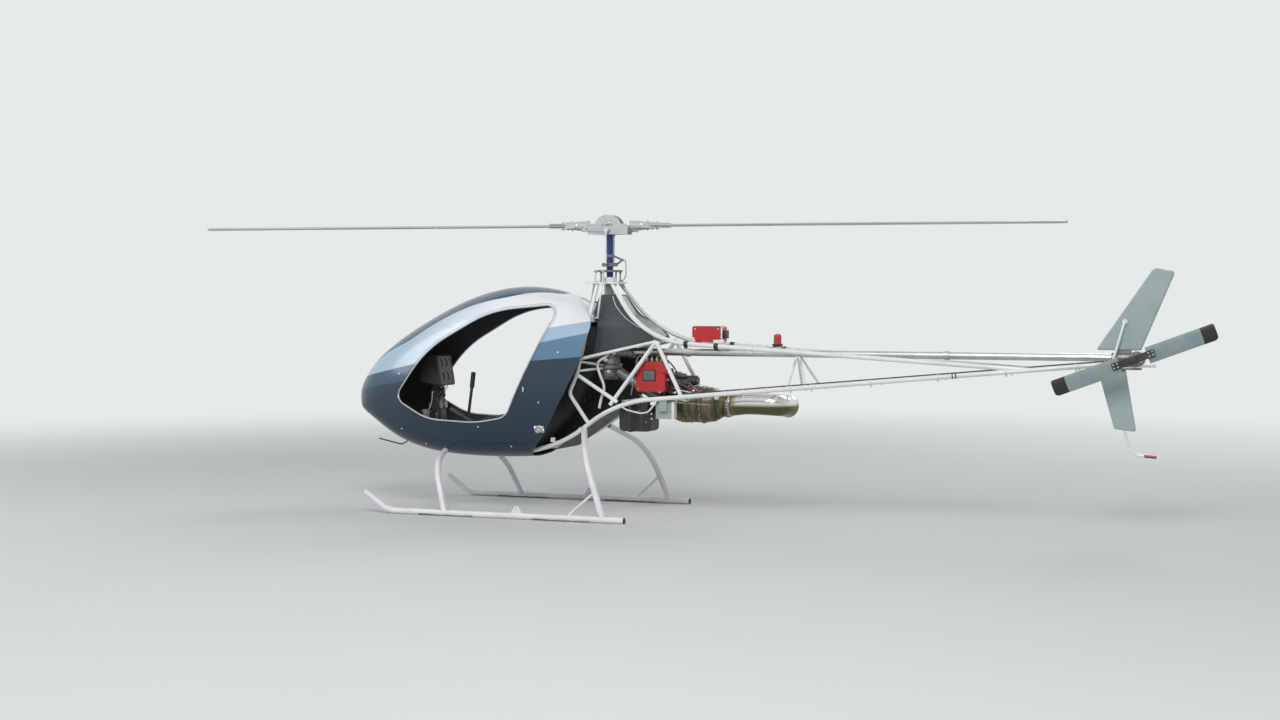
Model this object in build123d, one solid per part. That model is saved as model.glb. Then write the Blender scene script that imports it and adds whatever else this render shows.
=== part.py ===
from build123d import *
import math
import os

# Single-seat kit helicopter, millimetres.
# +X runs aft, +Y to starboard, +Z up. The mast axis is x = 0, y = 0 and the ground is z = 0.

# Clearances
fit = 0.3
panel_clearance = 3.0

# Main rotor
rotor_radius = 3200.0
rotor_plane_z = 2045.0
rotor_azimuth = 3.8
blade_chord = 178.0
blade_thickness = 21.0
blade_root = 330.0
teeter_height = 12.0
teeter_bolt_radius = 8.0
hub_plate_radius = 98.0
hub_plate_thickness = 12.0
hub_plate_offset = 58.0
hub_plate_drop = 62.0
hub_plate_length = 148.0
grip_radius = 34.0
grip_inner = 152.0
grip_outer = 300.0
strap_thickness = 8.0
strap_length = 150.0
horn_offset = 80.0
horn_drop = 35.0
horn_rod_radius = 8.0
horn_eye_radius = 17.0
horn_eye_bore = 10.0
link_pin_radius = 4.0
link_rod_radius = 6.0

# Mast and swashplate
mast_radius = 24.0
mast_block_radius = 34.0
mast_block_half_width = 44.0
top_plate_z = 1639.0
top_plate_thickness = 12.0
top_plate_front = 150.0
top_plate_rear = 96.0
top_plate_half_width = 112.0
bearing_height = 34.0
bearing_radius = 52.0
lower_ring_rise = 71.0
lower_ring_radius = 92.0
lower_ring_bore = 34.0
lower_ring_thickness = 14.0
upper_plate_rise = 110.0
upper_plate_radius = 57.0
upper_plate_thickness = 26.0
scissor_rise = 40.0
scissor_reach = 94.0
scissor_width = 20.0
control_rod_radius = 5.0
control_rod_circle = 80.0

# Truss frame
longeron_od = 32.0
strut_od = 28.0
brace_od = 22.0
tube_wall = 2.0
boom_end_x = 3540.0
boom_end_half = 62.0
boom_end_z = 1113.0
lower_bend = (157.0, 255.0, 803.0)
keel_front = (-1270.0, 175.0, 441.0)
keel_rear = (-393.0, 205.0, 408.0)
keel_bend_radius = 1050.0
lower_bend_radius = 870.0
upper_top = (52.0, 85.0)
upper_bend = (335.0, 205.0, 1235.0)
upper_bend_radius = 650.0
upper_join_x = 3010.0
post_top = (-62.0, 84.0)
post_node = (-146.0, 262.0, 992.0)
post_low = (-205.0, 262.0, 857.0)
post_foot = (-58.0, 240.0, 636.0)
waist_z = 1105.0
fore_leg_foot = (104.0, 258.0, 782.0)
aft_leg_foot_x = 626.0
apex_x = 428.0

# Landing gear
track = 1340.0
skid_od = 44.0
leg_od = 44.0
skid_tip = (-1615.0, 150.0)
skid_bend_x = -1425.0
skid_rear_x = 365.0
front_leg_top_x = -1200.0
front_knee = (-1110.0, 560.0, 362.0)
front_foot_x = -985.0
rear_leg_top_x = -100.0
rear_knee = (60.0, 610.0, 430.0)
rear_foot_x = 215.0
leg_brace_od = 16.0

# Cabin
cabin_wall = 6.0
cabin_sections = [
    # x, bottom z, top z, half width
    (-1979.0, 770.0, 834.0, 32.0),
    (-1945.0, 700.0, 925.0, 120.0),
    (-1850.0, 642.0, 1052.0, 205.0),
    (-1650.0, 520.0, 1220.0, 292.0),
    (-1400.0, 424.0, 1370.0, 348.0),
    (-1100.0, 383.0, 1515.0, 380.0),
    (-750.0, 378.0, 1606.0, 392.0),
    (-400.0, 404.0, 1590.0, 388.0),
    (-180.0, 455.0, 1520.0, 376.0),
    (0.0, 520.0, 1440.0, 362.0),
]
widest_share = 0.46
crown_join_angle = 20.0
rear_outline = [
    # x, z, corner radius
    (-2300.0, 200.0, 10.0),
    (-700.0, 200.0, 10.0),
    (-340.0, 610.0, 800.0),
    (-66.0, 1110.0, 900.0),
    (-40.0, 1372.0, 130.0),
    (-330.0, 1630.0, 10.0),
    (-2300.0, 1730.0, 10.0),
]
bulkhead_setback = 94.0
bulkhead_thickness = 4.0
door_outline = [
    # x, z, corner radius
    (-1562.0, 800.0, 70.0),
    (-1290.0, 655.0, 420.0),
    (-900.0, 638.0, 700.0),
    (-655.0, 682.0, 130.0),
    (-262.0, 1490.0, 72.0),
    (-800.0, 1440.0, 850.0),
    (-1300.0, 1160.0, 850.0),
]
windshield_outline = [
    # x, half width, corner radius
    (-1905.0, 120.0, 90.0),
    (-1500.0, 232.0, 500.0),
    (-700.0, 215.0, 600.0),
    (-300.0, 90.0, 80.0),
]
windshield_low_z = 900.0
floor_z = 468.0
floor_thickness = 6.0
floor_rib_x = (-1140.0, -640.0)

cabin_span = 1000.0
windshield_thickness = 3.0
floor_rib_depth = 120.0
floor_span = (-1720.0, -300.0)
bulkhead_box = ((-700.0, 100.0), (-500.0, 500.0), (300.0, 1700.0))
pod_setback = 6.0

# Seat
seat_front_x = -1010.0
seat_rear_x = -560.0
seat_half_width = 232.0
seat_pan_z = 604.0
seat_pan_fall = 26.0
seat_back_top = (-352.0, 1235.0)
seat_back_depth = 34.0
seat_foot_depth = 62.0
pan_wall = 5.0
cushion_thickness = 62.0
cushion_corner = 45.0
cushion_edge = 18.0
cushion_setback = 12.0

# Controls and instruments
stick_x = -1120.0
stick_od = 22.0
stick_top_z = 985.0
stick_lean = 42.0
stick_grip_od = 34.0
stick_grip_length = 117.0
collective_pivot_x = -700.0
collective_y = -262.0
collective_rise = 86.0
collective_reach = 400.0
collective_lift = 146.0
collective_od = 24.0
pedal_x = -1470.0
pedal_y = 95.0
pedal_rise = 186.0
pedal_od = 16.0
pod_rear_x = -1275.0
pod_depth = 140.0
pod_low_z = 880.0
pod_height = 240.0
pod_lean = 40.0
pod_half_width = 118.0
pod_edge = 8.0
gauge_radius = 34.0
gauge_depth = 4.0
gauge_spacing = 76.0
gauge_row_spacing = 104.0
pitot_od = 10.0
pitot_line = [(-1832.0, -52.0, 480.0), (-1640.0, -52.0, 440.0), (-1566.0, -52.0, 486.0)]

# Ground wheel lugs
wheel_lug_x = -430.0
wheel_lug_bore = 6.35
wheel_lug_radius = 19.0
wheel_lug_thickness = 10.0
wheel_lug_height = 30.0
wheel_lug_foot = 86.0

# Main gearbox and tail drive
gearbox_low_z = 950.0
gearbox_radius = 92.0
mast_tube_radius = 30.0
output_radius = 38.0
output_collar_length = 40.0
quill_od = 74.0
gearbox_arm_od = 18.0
gearbox_arm_rows = [
    # height on the post, distance of the gearbox end above the gearbox foot
    (1083.0, 96.0),
    (1016.0, 84.0),
]
drive_tube_od = 50.0
drive_tube_wall = 2.0
drive_tube_front_x = 190.0
drive_tube_z = 1150.0
drive_collar_x = (600.0, 1400.0, 2435.0)
drive_collar_length = 32.0
drive_collar_rise = 6.0
boom_brace_od = 18.0
boom_brace_feet = (-26.0, 104.0)

# Engine and exhaust, distances aft of the engine's front face
engine_front_x = 400.0
engine_axis_z = 785.0
engine_rows = [
    # aft of the front face, radius
    (0.0, 60.0),
    (4.0, 92.0),
    (70.0, 96.0),
    (76.0, 72.0),
    (120.0, 72.0),
    (132.0, 118.0),
    (160.0, 127.0),
    (218.0, 127.0),
    (218.0, 130.0),
    (226.0, 130.0),
    (226.0, 127.0),
    (300.0, 127.0),
    (312.0, 133.0),
    (324.0, 133.0),
    (336.0, 125.0),
    (400.0, 118.0),
    (446.0, 92.0),
    (460.0, 84.0),
]
engine_wall = 24.0
engine_mount_feet = (585.0, 680.0)
engine_mount_x = 632.0
engine_mount_od = 20.0
accessory_top_z = 1010.0
exhaust_radius = 76.0
exhaust_wall = 3.0
exhaust_front_x = 890.0
exhaust_length = 432.0
exhaust_rise = 12.0
exhaust_slant = 13.0
exhaust_flange_width = 12.0
exhaust_flange_thickness = 10.0
exhaust_lip = 4.0

# Fuel tank
tank_wall = 5.0
tank_clearance = 6.0
tank_side = [
    # x, z, corner radius, over the floor corners that rest on the waist tubes
    (392.0, 1262.0, 16.0),
    (330.0, 1322.0, 40.0),
    (180.0, 1420.0, 160.0),
    (96.0, 1556.0, 34.0),
    (-44.0, 1556.0, 34.0),
]
tank_floor_x = (-150.0, 398.0)
tank_front = [
    # half width, z, corner radius
    (176.0, 1060.0, 20.0),
    (160.0, 1330.0, 60.0),
    (72.0, 1580.0, 30.0),
]
tank_bar_x = (-98.0, 300.0)

# Boxes on the frame: x range, y range, z range
battery_case = ((150.0, 392.0), (-196.0, -44.0), (596.0, 776.0))
battery_corner = 34.0
battery_lid_rise = 6.0
grey_case = ((430.0, 548.0), (-214.0, -140.0), (690.0, 806.0))
grey_corner = 10.0
control_case = ((268.0, 484.0), (-176.0, -96.0), (877.0, 1087.0))
control_corner = 16.0
red_box_arm_z = 1010.0
red_box_arm_od = 14.0
top_case = ((648.0, 858.0), (-70.0, 70.0), (1226.0, 1336.0))
top_case_corner = 14.0
box_wall = 3.0
cross_tube_x = 204.0
top_tube_x = (668.0, 838.0)
beacon_x = 1250.0
beacon_radius = 34.0
beacon_height = 92.0
saddle_thickness = 3.0

# Tail
tail_arm = 3680.0
tail_hub_y = -187.0
tail_hub_z = 1144.0
tail_rotor_radius = 545.0
tail_blade_chord = 115.0
tail_blade_thickness = 14.0
tail_blade_root = 92.0
tail_blade_angle = 20.7
tail_blade_tip = 30.0
tail_case_radius = 50.0
tail_case_wall = 8.0
tail_shaft_radius = 20.0
tail_hub_radius = 26.0
tail_hub_height = 36.0
tail_strap = 8.0
fin_thickness = 26.0
fin_edge = 9.0
fin_skin = 2.0
fin_plate_thickness = 18.0
upper_fin_outline = [
    # aft of the tail rotor axis, above the boom end, corner radius
    (-262.0, 87.0, 10.0),
    (26.0, 87.0, 10.0),
    (238.0, 599.0, 22.0),
    (104.0, 625.0, 45.0),
]
lower_fin_outline = [
    # aft of the tail rotor axis, above the boom end, corner radius
    (-250.0, -40.0, 10.0),
    (-140.0, -427.0, 14.0),
    (0.0, -443.0, 14.0),
    (-70.0, -40.0, 10.0),
]
tail_skid_line = [
    # aft of the tail rotor axis, y, above the boom end
    (-82.0, 0.0, -418.0),
    (-32.0, 0.0, -593.0),
    (130.0, 0.0, -605.0),
]
tail_skid_od = 20.0
tail_skid_bend = 90.0
stabiliser_outline = [
    # aft of the tail rotor axis, y, corner radius
    (-180.0, 62.0, 6.0),
    (-12.0, 62.0, 6.0),
    (-52.0, 648.0, 12.0),
    (-92.0, 648.0, 12.0),
]
stabiliser_thickness = 16.0
stabiliser_edge = 6.0
tail_plate_drop = 40.0
tail_plate_thickness = 12.0
fin_strut_od = 18.0


# Levels that follow from the sizes above

floor_top_z = floor_z + floor_thickness
on_floor_z = floor_top_z + fit
frame_top_z = top_plate_z - top_plate_thickness / 2 - fit
plate_top_z = top_plate_z + top_plate_thickness / 2
gearbox_flange_z = gearbox_low_z + 80.0
exhaust_axis_z = engine_axis_z + exhaust_rise
exhaust_rear_x = exhaust_front_x + exhaust_length
drive_tube_rear_x = tail_arm - 160.0
hub_z = rotor_plane_z + teeter_height
horn_height = rotor_plane_z - horn_drop
lower_ring_z = plate_top_z + lower_ring_rise
upper_plate_z = plate_top_z + upper_plate_rise


# Points and paths

def port(point):
    return (point[0], -point[1], point[2])


def mix(start, end, share):
    return tuple(a + (b - a) * share for a, b in zip(start, end))


def at_x(start, end, x):
    return mix(start, end, (x - start[0]) / (end[0] - start[0]))


def rod(start, end, diameter, wall=0.0):
    axis = Vector(*end) - Vector(*start)
    ring = Circle(diameter / 2)
    if wall:
        ring -= Circle(diameter / 2 - wall)
    return extrude(Plane(origin=start, z_dir=axis) * ring, amount=axis.length)


def bent_tube(points, radii, diameter, wall=0.0):
    # Straight runs are extruded and the bends between them are turned about their own centres.
    ring = Circle(diameter / 2)
    if wall:
        ring -= Circle(diameter / 2 - wall)
    runs = []
    for edge in FilletPolyline(*points, radius=radii).edges():
        start = edge @ 0
        heading = edge % 0
        section = Plane(origin=start, z_dir=heading) * ring
        if edge.geom_type == GeomType.LINE:
            runs.append(extrude(section, amount=edge.length))
        else:
            axis = Axis(edge.arc_center, (start - edge.arc_center).cross(heading))
            runs.append(revolve(section, axis=axis, revolution_arc=math.degrees(edge.length / edge.radius)))
    return runs[0].fuse(*runs[1:])


def drum(start, axis, length, radius, bore=0.0):
    ring = Circle(radius)
    if bore:
        ring -= Circle(bore)
    return extrude(Plane(origin=start, z_dir=axis) * ring, amount=length)


def block(x_range, y_range, z_range):
    size = [high - low for low, high in (x_range, y_range, z_range)]
    centre = [(low + high) / 2 for low, high in (x_range, y_range, z_range)]
    return Pos(*centre) * Box(*size)


def rounded_block(x_range, y_range, z_range, radius):
    shape = block(x_range, y_range, z_range)
    return fillet(shape.edges().filter_by(Axis.Y), radius)


def mirrored(shape):
    return mirror(shape, about=Plane.XZ)


# Frame lines, starboard side

boom_end = (boom_end_x, boom_end_half, boom_end_z)
upper_join = at_x(lower_bend, boom_end, upper_join_x)
lower_line = [keel_front, keel_rear, lower_bend, boom_end]
upper_line = [mix(upper_bend, (upper_top[0], upper_top[1], frame_top_z), 1.05), upper_bend, upper_join]
above_frame = Pos(0, 0, frame_top_z + 500.0) * Box(1000.0, 1000.0, 1000.0)
apex = (apex_x, at_x(upper_bend, upper_join, apex_x)[1], at_x(upper_bend, upper_join, apex_x)[2])
post_line = [mix(post_node, (post_top[0], post_top[1], frame_top_z), 1.04), post_node, post_low, post_foot]
post_bends = (60.0, 60.0)
sill_line = (post_node, lower_bend)
waist_line = ((post_node[0] + 30.0, post_node[1], waist_z), apex)
fore_leg = (apex, fore_leg_foot)
aft_leg = (apex, at_x(lower_bend, boom_end, aft_leg_foot_x))


def lower_envelope(clearance):
    return bent_tube(lower_line, (keel_bend_radius, lower_bend_radius), longeron_od + 2 * clearance)


def upper_envelope(clearance):
    return bent_tube(upper_line, (upper_bend_radius,), longeron_od + 2 * clearance)


lower_solid = lower_envelope(fit)
upper_solid = upper_envelope(fit)


def lower_longeron():
    return bent_tube(lower_line, (keel_bend_radius, lower_bend_radius), longeron_od, tube_wall)


def upper_longeron():
    tube = bent_tube(upper_line, (upper_bend_radius,), longeron_od, tube_wall)
    return tube - lower_solid - above_frame


def truss_struts():
    post = bent_tube(post_line, post_bends, strut_od, tube_wall) - lower_solid - above_frame
    post_envelope = bent_tube(post_line, post_bends, strut_od + 2 * fit)
    sill = rod(*sill_line, strut_od, tube_wall) - lower_solid - post_envelope
    waist = rod(*waist_line, brace_od, tube_wall) - upper_solid - post_envelope
    fore = rod(*fore_leg, strut_od, tube_wall) - lower_solid - upper_solid
    aft = rod(*aft_leg, strut_od, tube_wall) - lower_solid - upper_solid
    return [post, sill, waist, fore, aft]


# Cabin forms

def cabin_outline(bottom, top, half_width, inset):
    widest = bottom + widest_share * (top - bottom)
    side = half_width - inset
    rise = top - inset - widest
    drop = widest - bottom - inset
    lean = math.cos(math.radians(crown_join_angle))
    lift = math.sin(math.radians(crown_join_angle))
    upper_radius = (lean * rise - (1 - lift) * side) / (lean + lift - 1)
    crown_radius = (lift * side - (1 - lean) * rise) / (lean + lift - 1)
    crown_y = crown_radius * lean
    crown_z = rise - crown_radius * (1 - lift)
    flank_radius = 3.2 * side
    belly_radius = 3.6 * side
    corner_radius = 0.46 * min(side, drop)
    flank_centre = Vector(side - flank_radius, 0)
    belly_centre = Vector(0, belly_radius - drop)
    corner = circle_crossing(flank_centre, flank_radius - corner_radius, belly_centre, belly_radius - corner_radius)
    flank_end = corner + (corner - flank_centre).normalized() * corner_radius
    belly_end = corner + (corner - belly_centre).normalized() * corner_radius
    corner_mid = corner + ((flank_end - corner) + (belly_end - corner)).normalized() * corner_radius
    flank_mid = flank_centre + (Vector(side, 0) + flank_end - flank_centre * 2).normalized() * flank_radius
    upper_centre = Vector(side - upper_radius, 0)
    upper_mid = upper_centre + (Vector(side, 0) + Vector(crown_y, crown_z) - upper_centre * 2).normalized() * upper_radius
    right = [
        ((crown_y, crown_z), tuple(upper_mid)[:2], (side, 0)),
        ((side, 0), tuple(flank_mid)[:2], tuple(flank_end)[:2]),
        (tuple(flank_end)[:2], tuple(corner_mid)[:2], tuple(belly_end)[:2]),
    ]
    arcs = [ThreePointArc((-crown_y, crown_z), (0, rise), (crown_y, crown_z))]
    arcs += [ThreePointArc(*points) for points in right]
    arcs += [ThreePointArc(tuple(belly_end)[:2], (0, -drop), (-belly_end.X, belly_end.Y))]
    for points in reversed(right):
        arcs.append(ThreePointArc(*[(-y, z) for y, z in reversed(points)]))
    return make_face(arcs), widest


def circle_crossing(first, first_radius, second, second_radius):
    line = second - first
    distance = line.length
    along = (first_radius ** 2 - second_radius ** 2 + distance ** 2) / (2 * distance)
    height = math.sqrt(first_radius ** 2 - along ** 2)
    unit = line.normalized()
    foot = first + unit * along
    normal = Vector(unit.Y, -unit.X)
    return max((foot + normal * height, foot - normal * height), key=lambda point: point.X - point.Y)


def cabin_body(inset):
    faces = []
    for index, (x, bottom, top, half_width) in enumerate(cabin_sections):
        outline, widest = cabin_outline(bottom, top, half_width, inset)
        station = x + (inset if index == 0 else 0)
        faces.append(Plane(origin=(station, 0, widest), x_dir=(0, 1, 0), z_dir=(1, 0, 0)) * outline)
    return loft(faces)


def filleted_face(rows):
    outline = make_face(Polyline(*[row[:2] for row in rows], close=True))
    for x, y, radius in rows:
        corner = outline.vertices().sort_by_distance((x, y, 0))[0]
        outline = fillet(corner, radius)
    return outline


def rear_prism(setback):
    outline = filleted_face(rear_outline)
    if setback:
        outline = offset(outline, amount=-setback)
    return extrude(Plane.XZ * outline, amount=cabin_span / 2, both=True)


def door_cutter():
    return extrude(Plane.XZ * filleted_face(door_outline), amount=cabin_span / 2, both=True)


def windshield_prism(inset):
    rows = [(x + (inset if x < -1000 else -inset), half - inset, radius) for x, half, radius in windshield_outline]
    rows += [(x, -half, radius) for x, half, radius in reversed(rows)]
    return extrude(Pos(0, 0, windshield_low_z) * filleted_face(rows), amount=cabin_span)


# Cabin pieces

def leg_envelope(points, radius, clearance):
    return bent_tube(points, radius, leg_od + 2 * clearance)


def cabin_shell():
    shell = (cabin_body(0) - cabin_body(cabin_wall)) & rear_prism(0)
    envelope = leg_envelope(front_leg_line, front_leg_radius, panel_clearance)
    shell -= door_cutter()
    shell -= windshield_prism(0)
    shell -= envelope
    half = shell & block((-4 * cabin_span, cabin_span), (fit / 2, cabin_span), (0, 2 * cabin_span))
    return half, mirrored(half)


def windshield():
    skin = cabin_body(0) - cabin_body(windshield_thickness)
    return skin & windshield_prism(fit)


def bulkhead():
    wall = cabin_body(cabin_wall + fit) & (rear_prism(bulkhead_setback) - rear_prism(bulkhead_setback + bulkhead_thickness))
    wall = wall & block(*bulkhead_box)
    envelope = lower_envelope(panel_clearance)
    return wall - envelope - mirrored(envelope)


def cabin_floor():
    half_span = cabin_span / 2
    slab = block(floor_span, (-half_span, half_span), (floor_z, floor_top_z))
    for x in floor_rib_x:
        rib_x = (x - floor_thickness / 2, x + floor_thickness / 2)
        slab += block(rib_x, (-half_span, half_span), (floor_z - floor_rib_depth, floor_top_z))
    slab = slab & cabin_body(cabin_wall + fit) & rear_prism(bulkhead_setback + bulkhead_thickness + fit)
    return slab - lower_solid - mirrored(lower_solid)


# Seat

def seat_face():
    back_x, back_z = seat_back_top
    return filleted_face([
        (seat_front_x, on_floor_z, 8.0),
        (seat_front_x + seat_pan_fall, seat_pan_z, 40.0),
        (seat_rear_x, seat_pan_z - seat_pan_fall, 60.0),
        (back_x, back_z, 12.0),
        (back_x + seat_back_depth, back_z - 8, 12.0),
        (seat_rear_x + seat_foot_depth, on_floor_z, 8.0),
    ])


def seat_pan():
    # A moulded bucket: one skin over the seat, its back and its sides, open underneath.
    face = seat_face()
    skin = extrude(Plane.XZ * face, amount=seat_half_width, both=True)
    inside = extrude(Plane.XZ * offset(face, amount=-pan_wall), amount=seat_half_width - pan_wall, both=True)
    mouth = block(
        (seat_front_x + 2 * pan_wall, seat_rear_x + seat_foot_depth - 2 * pan_wall),
        (pan_wall - seat_half_width, seat_half_width - pan_wall),
        (floor_z, on_floor_z + 2 * pan_wall),
    )
    room = cabin_body(cabin_wall + pan_wall) & rear_prism(bulkhead_setback + bulkhead_thickness + fit)
    return (skin - inside - mouth) & room


def cushion(start, end, thickness, half_width):
    along = Vector(end[0] - start[0], 0, end[1] - start[1])
    plane = Plane(origin=(start[0], 0, start[1]), x_dir=along, z_dir=along.cross(Vector(0, 1, 0)))
    pad = Box(along.length, 2 * half_width, thickness, align=(Align.MIN, Align.CENTER, Align.MIN))
    pad = fillet(pad.edges().filter_by(Axis.Z), cushion_corner)
    pad = fillet(pad.faces().sort_by(Axis.Z)[-1].edges(), cushion_edge)
    return plane * pad


def seat_cushion():
    front = (seat_front_x + seat_pan_fall, seat_pan_z + fit)
    rear = (seat_rear_x, seat_pan_z - seat_pan_fall + fit)
    return cushion(mix(front, rear, 0.08), mix(front, rear, 0.885), cushion_thickness, seat_half_width - cushion_setback)


def back_cushion():
    low = (seat_rear_x - fit, seat_pan_z - seat_pan_fall)
    high = (seat_back_top[0] - fit, seat_back_top[1])
    half_width = seat_half_width - cushion_setback - 8
    return cushion(mix(low, high, 0.13), mix(low, high, 0.97), cushion_thickness - 8, half_width)


# Controls and instruments

def instrument_pod():
    front_x = pod_rear_x - pod_depth
    high_z = pod_low_z + pod_height
    face = filleted_face([
        (front_x - 60, pod_low_z + 30, 30.0),
        (pod_rear_x - pod_setback, pod_low_z, 14.0),
        (pod_rear_x - pod_setback - pod_lean, high_z, 24.0),
        (front_x, high_z - 40, 50.0),
    ])
    head = extrude(Plane.XZ * face, amount=pod_half_width, both=True)
    sides = head.faces().sort_by(Axis.Y)
    head = fillet(sides[0].edges() + sides[-1].edges(), pod_edge)
    low = Vector(pod_rear_x - pod_setback, 0, pod_low_z)
    high = Vector(pod_rear_x - pod_setback - pod_lean, 0, high_z)
    plane = Plane(origin=(low + high) / 2, x_dir=(0, 1, 0), z_dir=Vector(0, 1, 0).cross((high - low).normalized()))
    with_gauges = Locations(*[
        (column * gauge_spacing, row * gauge_row_spacing / 2) for row in (-1, 1) for column in (-1, 0, 1)
    ])
    for place in with_gauges.locations:
        head -= plane * place * Cylinder(gauge_radius, 2 * gauge_depth)
    stalk = loft([
        Pos(front_x + 50, 0, on_floor_z) * RectangleRounded(110, 150, 20),
        Pos(front_x + 40, 0, pod_low_z + 40) * RectangleRounded(70, 90, 20),
    ])
    return head + stalk


def cyclic_stick():
    foot = drum((stick_x, 0, on_floor_z), (0, 0, 1), 24.0, 36.0)
    grip_top = (stick_x + stick_lean, 0, stick_top_z)
    grip_low = (stick_x + stick_lean * 2 / 3, 0, stick_top_z - stick_grip_length)
    knee = (stick_x, 0, (on_floor_z + grip_low[2]) / 2)
    stick = bent_tube([(stick_x, 0, on_floor_z + 20), knee, mix(grip_low, grip_top, 0.1)], (120.0,), stick_od)
    grip = rod(grip_low, grip_top, stick_grip_od)
    return foot + stick + fillet(grip.edges(), 8.0)


def collective_lever():
    pivot = (collective_pivot_x, collective_y, on_floor_z + collective_rise)
    bend = (pivot[0] - collective_reach / 2, collective_y, pivot[2] + 40)
    end = (pivot[0] - collective_reach, collective_y, pivot[2] + collective_lift)
    lever = bent_tube([pivot, bend, end], (200.0,), collective_od)
    grip = rod(mix(bend, end, 0.7), mix(bend, end, 1.2), 1.5 * collective_od)
    bracket = block((pivot[0] - 40, pivot[0] + 40), (collective_y - 12, collective_y + 12), (on_floor_z, pivot[2] + 15))
    return lever + fillet(grip.edges(), 8.0) + bracket


def pedals():
    parts = []
    for side in (1, -1):
        y = side * pedal_y
        top_z = on_floor_z + pedal_rise
        arm = bent_tube([(pedal_x, y, on_floor_z + 10), (pedal_x - 15, y, top_z - 50), (pedal_x - 50, y, top_z)], (60.0,), pedal_od)
        foot = block((pedal_x - 25, pedal_x + 25), (y - pedal_od, y + pedal_od), (on_floor_z, on_floor_z + 14))
        tread = Box(14, 6 * pedal_od, 60)
        tread = fillet(tread.edges().filter_by(Axis.X), 6.0)
        parts.append(arm + foot + Pos(pedal_x - 52, y, top_z + 4) * Rot(0, -28, 0) * tread)
    return parts


def pitot_tube():
    return bent_tube(pitot_line, (60.0,), pitot_od) - cabin_body(-fit)


# Landing gear

def foot_point(x):
    return (x, track / 2, skid_od / 2)


front_leg_line = [at_x(keel_front, keel_rear, front_leg_top_x), front_knee, foot_point(front_foot_x)]
rear_leg_line = [(rear_leg_top_x, 238.0, 604.0), rear_knee, foot_point(rear_foot_x)]
front_leg_radius = (330.0,)
rear_leg_radius = (420.0,)
skid_line = [(skid_tip[0], track / 2, skid_tip[1]), (skid_bend_x, track / 2, skid_od / 2),
             (skid_rear_x, track / 2, skid_od / 2)]


def skid():
    tube = bent_tube(skid_line, (200.0,), skid_od, tube_wall)
    return tube + drum((skid_rear_x - 4, track / 2, skid_od / 2), (1, 0, 0), 8.0, skid_od / 2)


def skid_envelope():
    return rod(foot_point(skid_bend_x + 100), foot_point(skid_rear_x), skid_od + 2 * fit)


def leg(points, radius):
    tube = bent_tube(points, radius, leg_od, tube_wall)
    return tube - lower_solid - skid_envelope()


def leg_brace():
    # The lower end lands on top of the skid, ahead of the rear leg's foot.
    top = (rear_foot_x - 63, track / 2 - 30, skid_od + 170)
    low = (rear_foot_x - 253, track / 2, skid_od)
    brace = rod(top, low, leg_brace_od)
    return brace - skid_envelope() - leg_envelope(rear_leg_line, rear_leg_radius, fit)


def wheel_lug():
    face = (track - wheel_lug_thickness) / 2
    eye_z = skid_od + wheel_lug_height
    eye = Pos(wheel_lug_x, eye_z) * Circle(wheel_lug_radius)
    foot = Pos(wheel_lug_x, skid_od / 2 + 12) * Rectangle(wheel_lug_foot, 6)
    plane = Plane(origin=(0, face, 0), x_dir=(1, 0, 0), z_dir=(0, -1, 0))
    plate = extrude(plane * make_hull(eye.edges() + foot.edges()), amount=-wheel_lug_thickness)
    bore = drum((wheel_lug_x, face - track, eye_z), (0, 1, 0), 2 * track, wheel_lug_bore)
    return plate - bore - skid_envelope()


# Powerplant and transmission

def revolved(rows, axis_origin, axis_direction):
    # rows: distance along the axis, radius
    points = [(0, rows[0][0])] + [(radius, along) for along, radius in rows] + [(0, rows[-1][0])]
    profile = make_face(Polyline(*points, close=True))
    body = revolve(Plane.XZ * profile, Axis.Z)
    return Plane(origin=axis_origin, z_dir=axis_direction) * body


def gearbox_form(clearance):
    rows = [
        # height, radius
        (gearbox_low_z, 62.0),
        (gearbox_low_z + 24, 76.0),
        (gearbox_low_z + 70, 80.0),
        (gearbox_flange_z, gearbox_radius),
        (gearbox_flange_z + 24, gearbox_radius),
        (gearbox_flange_z + 34, 78.0),
        (gearbox_flange_z + 110, 66.0),
        (gearbox_flange_z + 160, 48.0),
        (gearbox_flange_z + 240, mast_tube_radius + 8),
        (gearbox_flange_z + 244, mast_tube_radius),
        (frame_top_z, mast_tube_radius),
    ]
    return revolved([(z, radius + clearance) for z, radius in rows], (0, 0, 0), (0, 0, 1))


def main_gearbox():
    seat_x = engine_front_x - fit
    output = drum((0, 0, drive_tube_z), (1, 0, 0), drive_tube_front_x - fit, output_radius)
    collar_x = drive_tube_front_x - output_collar_length
    collar = drum((collar_x, 0, drive_tube_z), (1, 0, 0), output_collar_length - fit, output_radius + 8)
    quill = rod((52, 0, gearbox_low_z + 60), (seat_x, 0, engine_axis_z + 26), quill_od)
    quill -= block((seat_x, seat_x + 100), (-80, 80), (engine_axis_z - 200, engine_axis_z + 200))
    return gearbox_form(0) + output + collar + quill


def gearbox_arms():
    # Two arms a side hold the gearbox flange to the posts behind the cabin.
    post = bent_tube(post_line, post_bends, strut_od + 2 * fit)
    keep_out = post + rod(*sill_line, strut_od + 2 * fit) + rod(*waist_line, brace_od + 2 * fit) + gearbox_form(fit)
    arms = []
    for post_z, rise in gearbox_arm_rows:
        share = (post_z - post_node[2]) / (frame_top_z - post_node[2])
        start = mix(post_node, (post_top[0], post_top[1], frame_top_z), share)
        end = (0.0, gearbox_radius / 2, gearbox_low_z + rise)
        arms.append(rod(start, end, gearbox_arm_od) - keep_out)
    return arms


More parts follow.
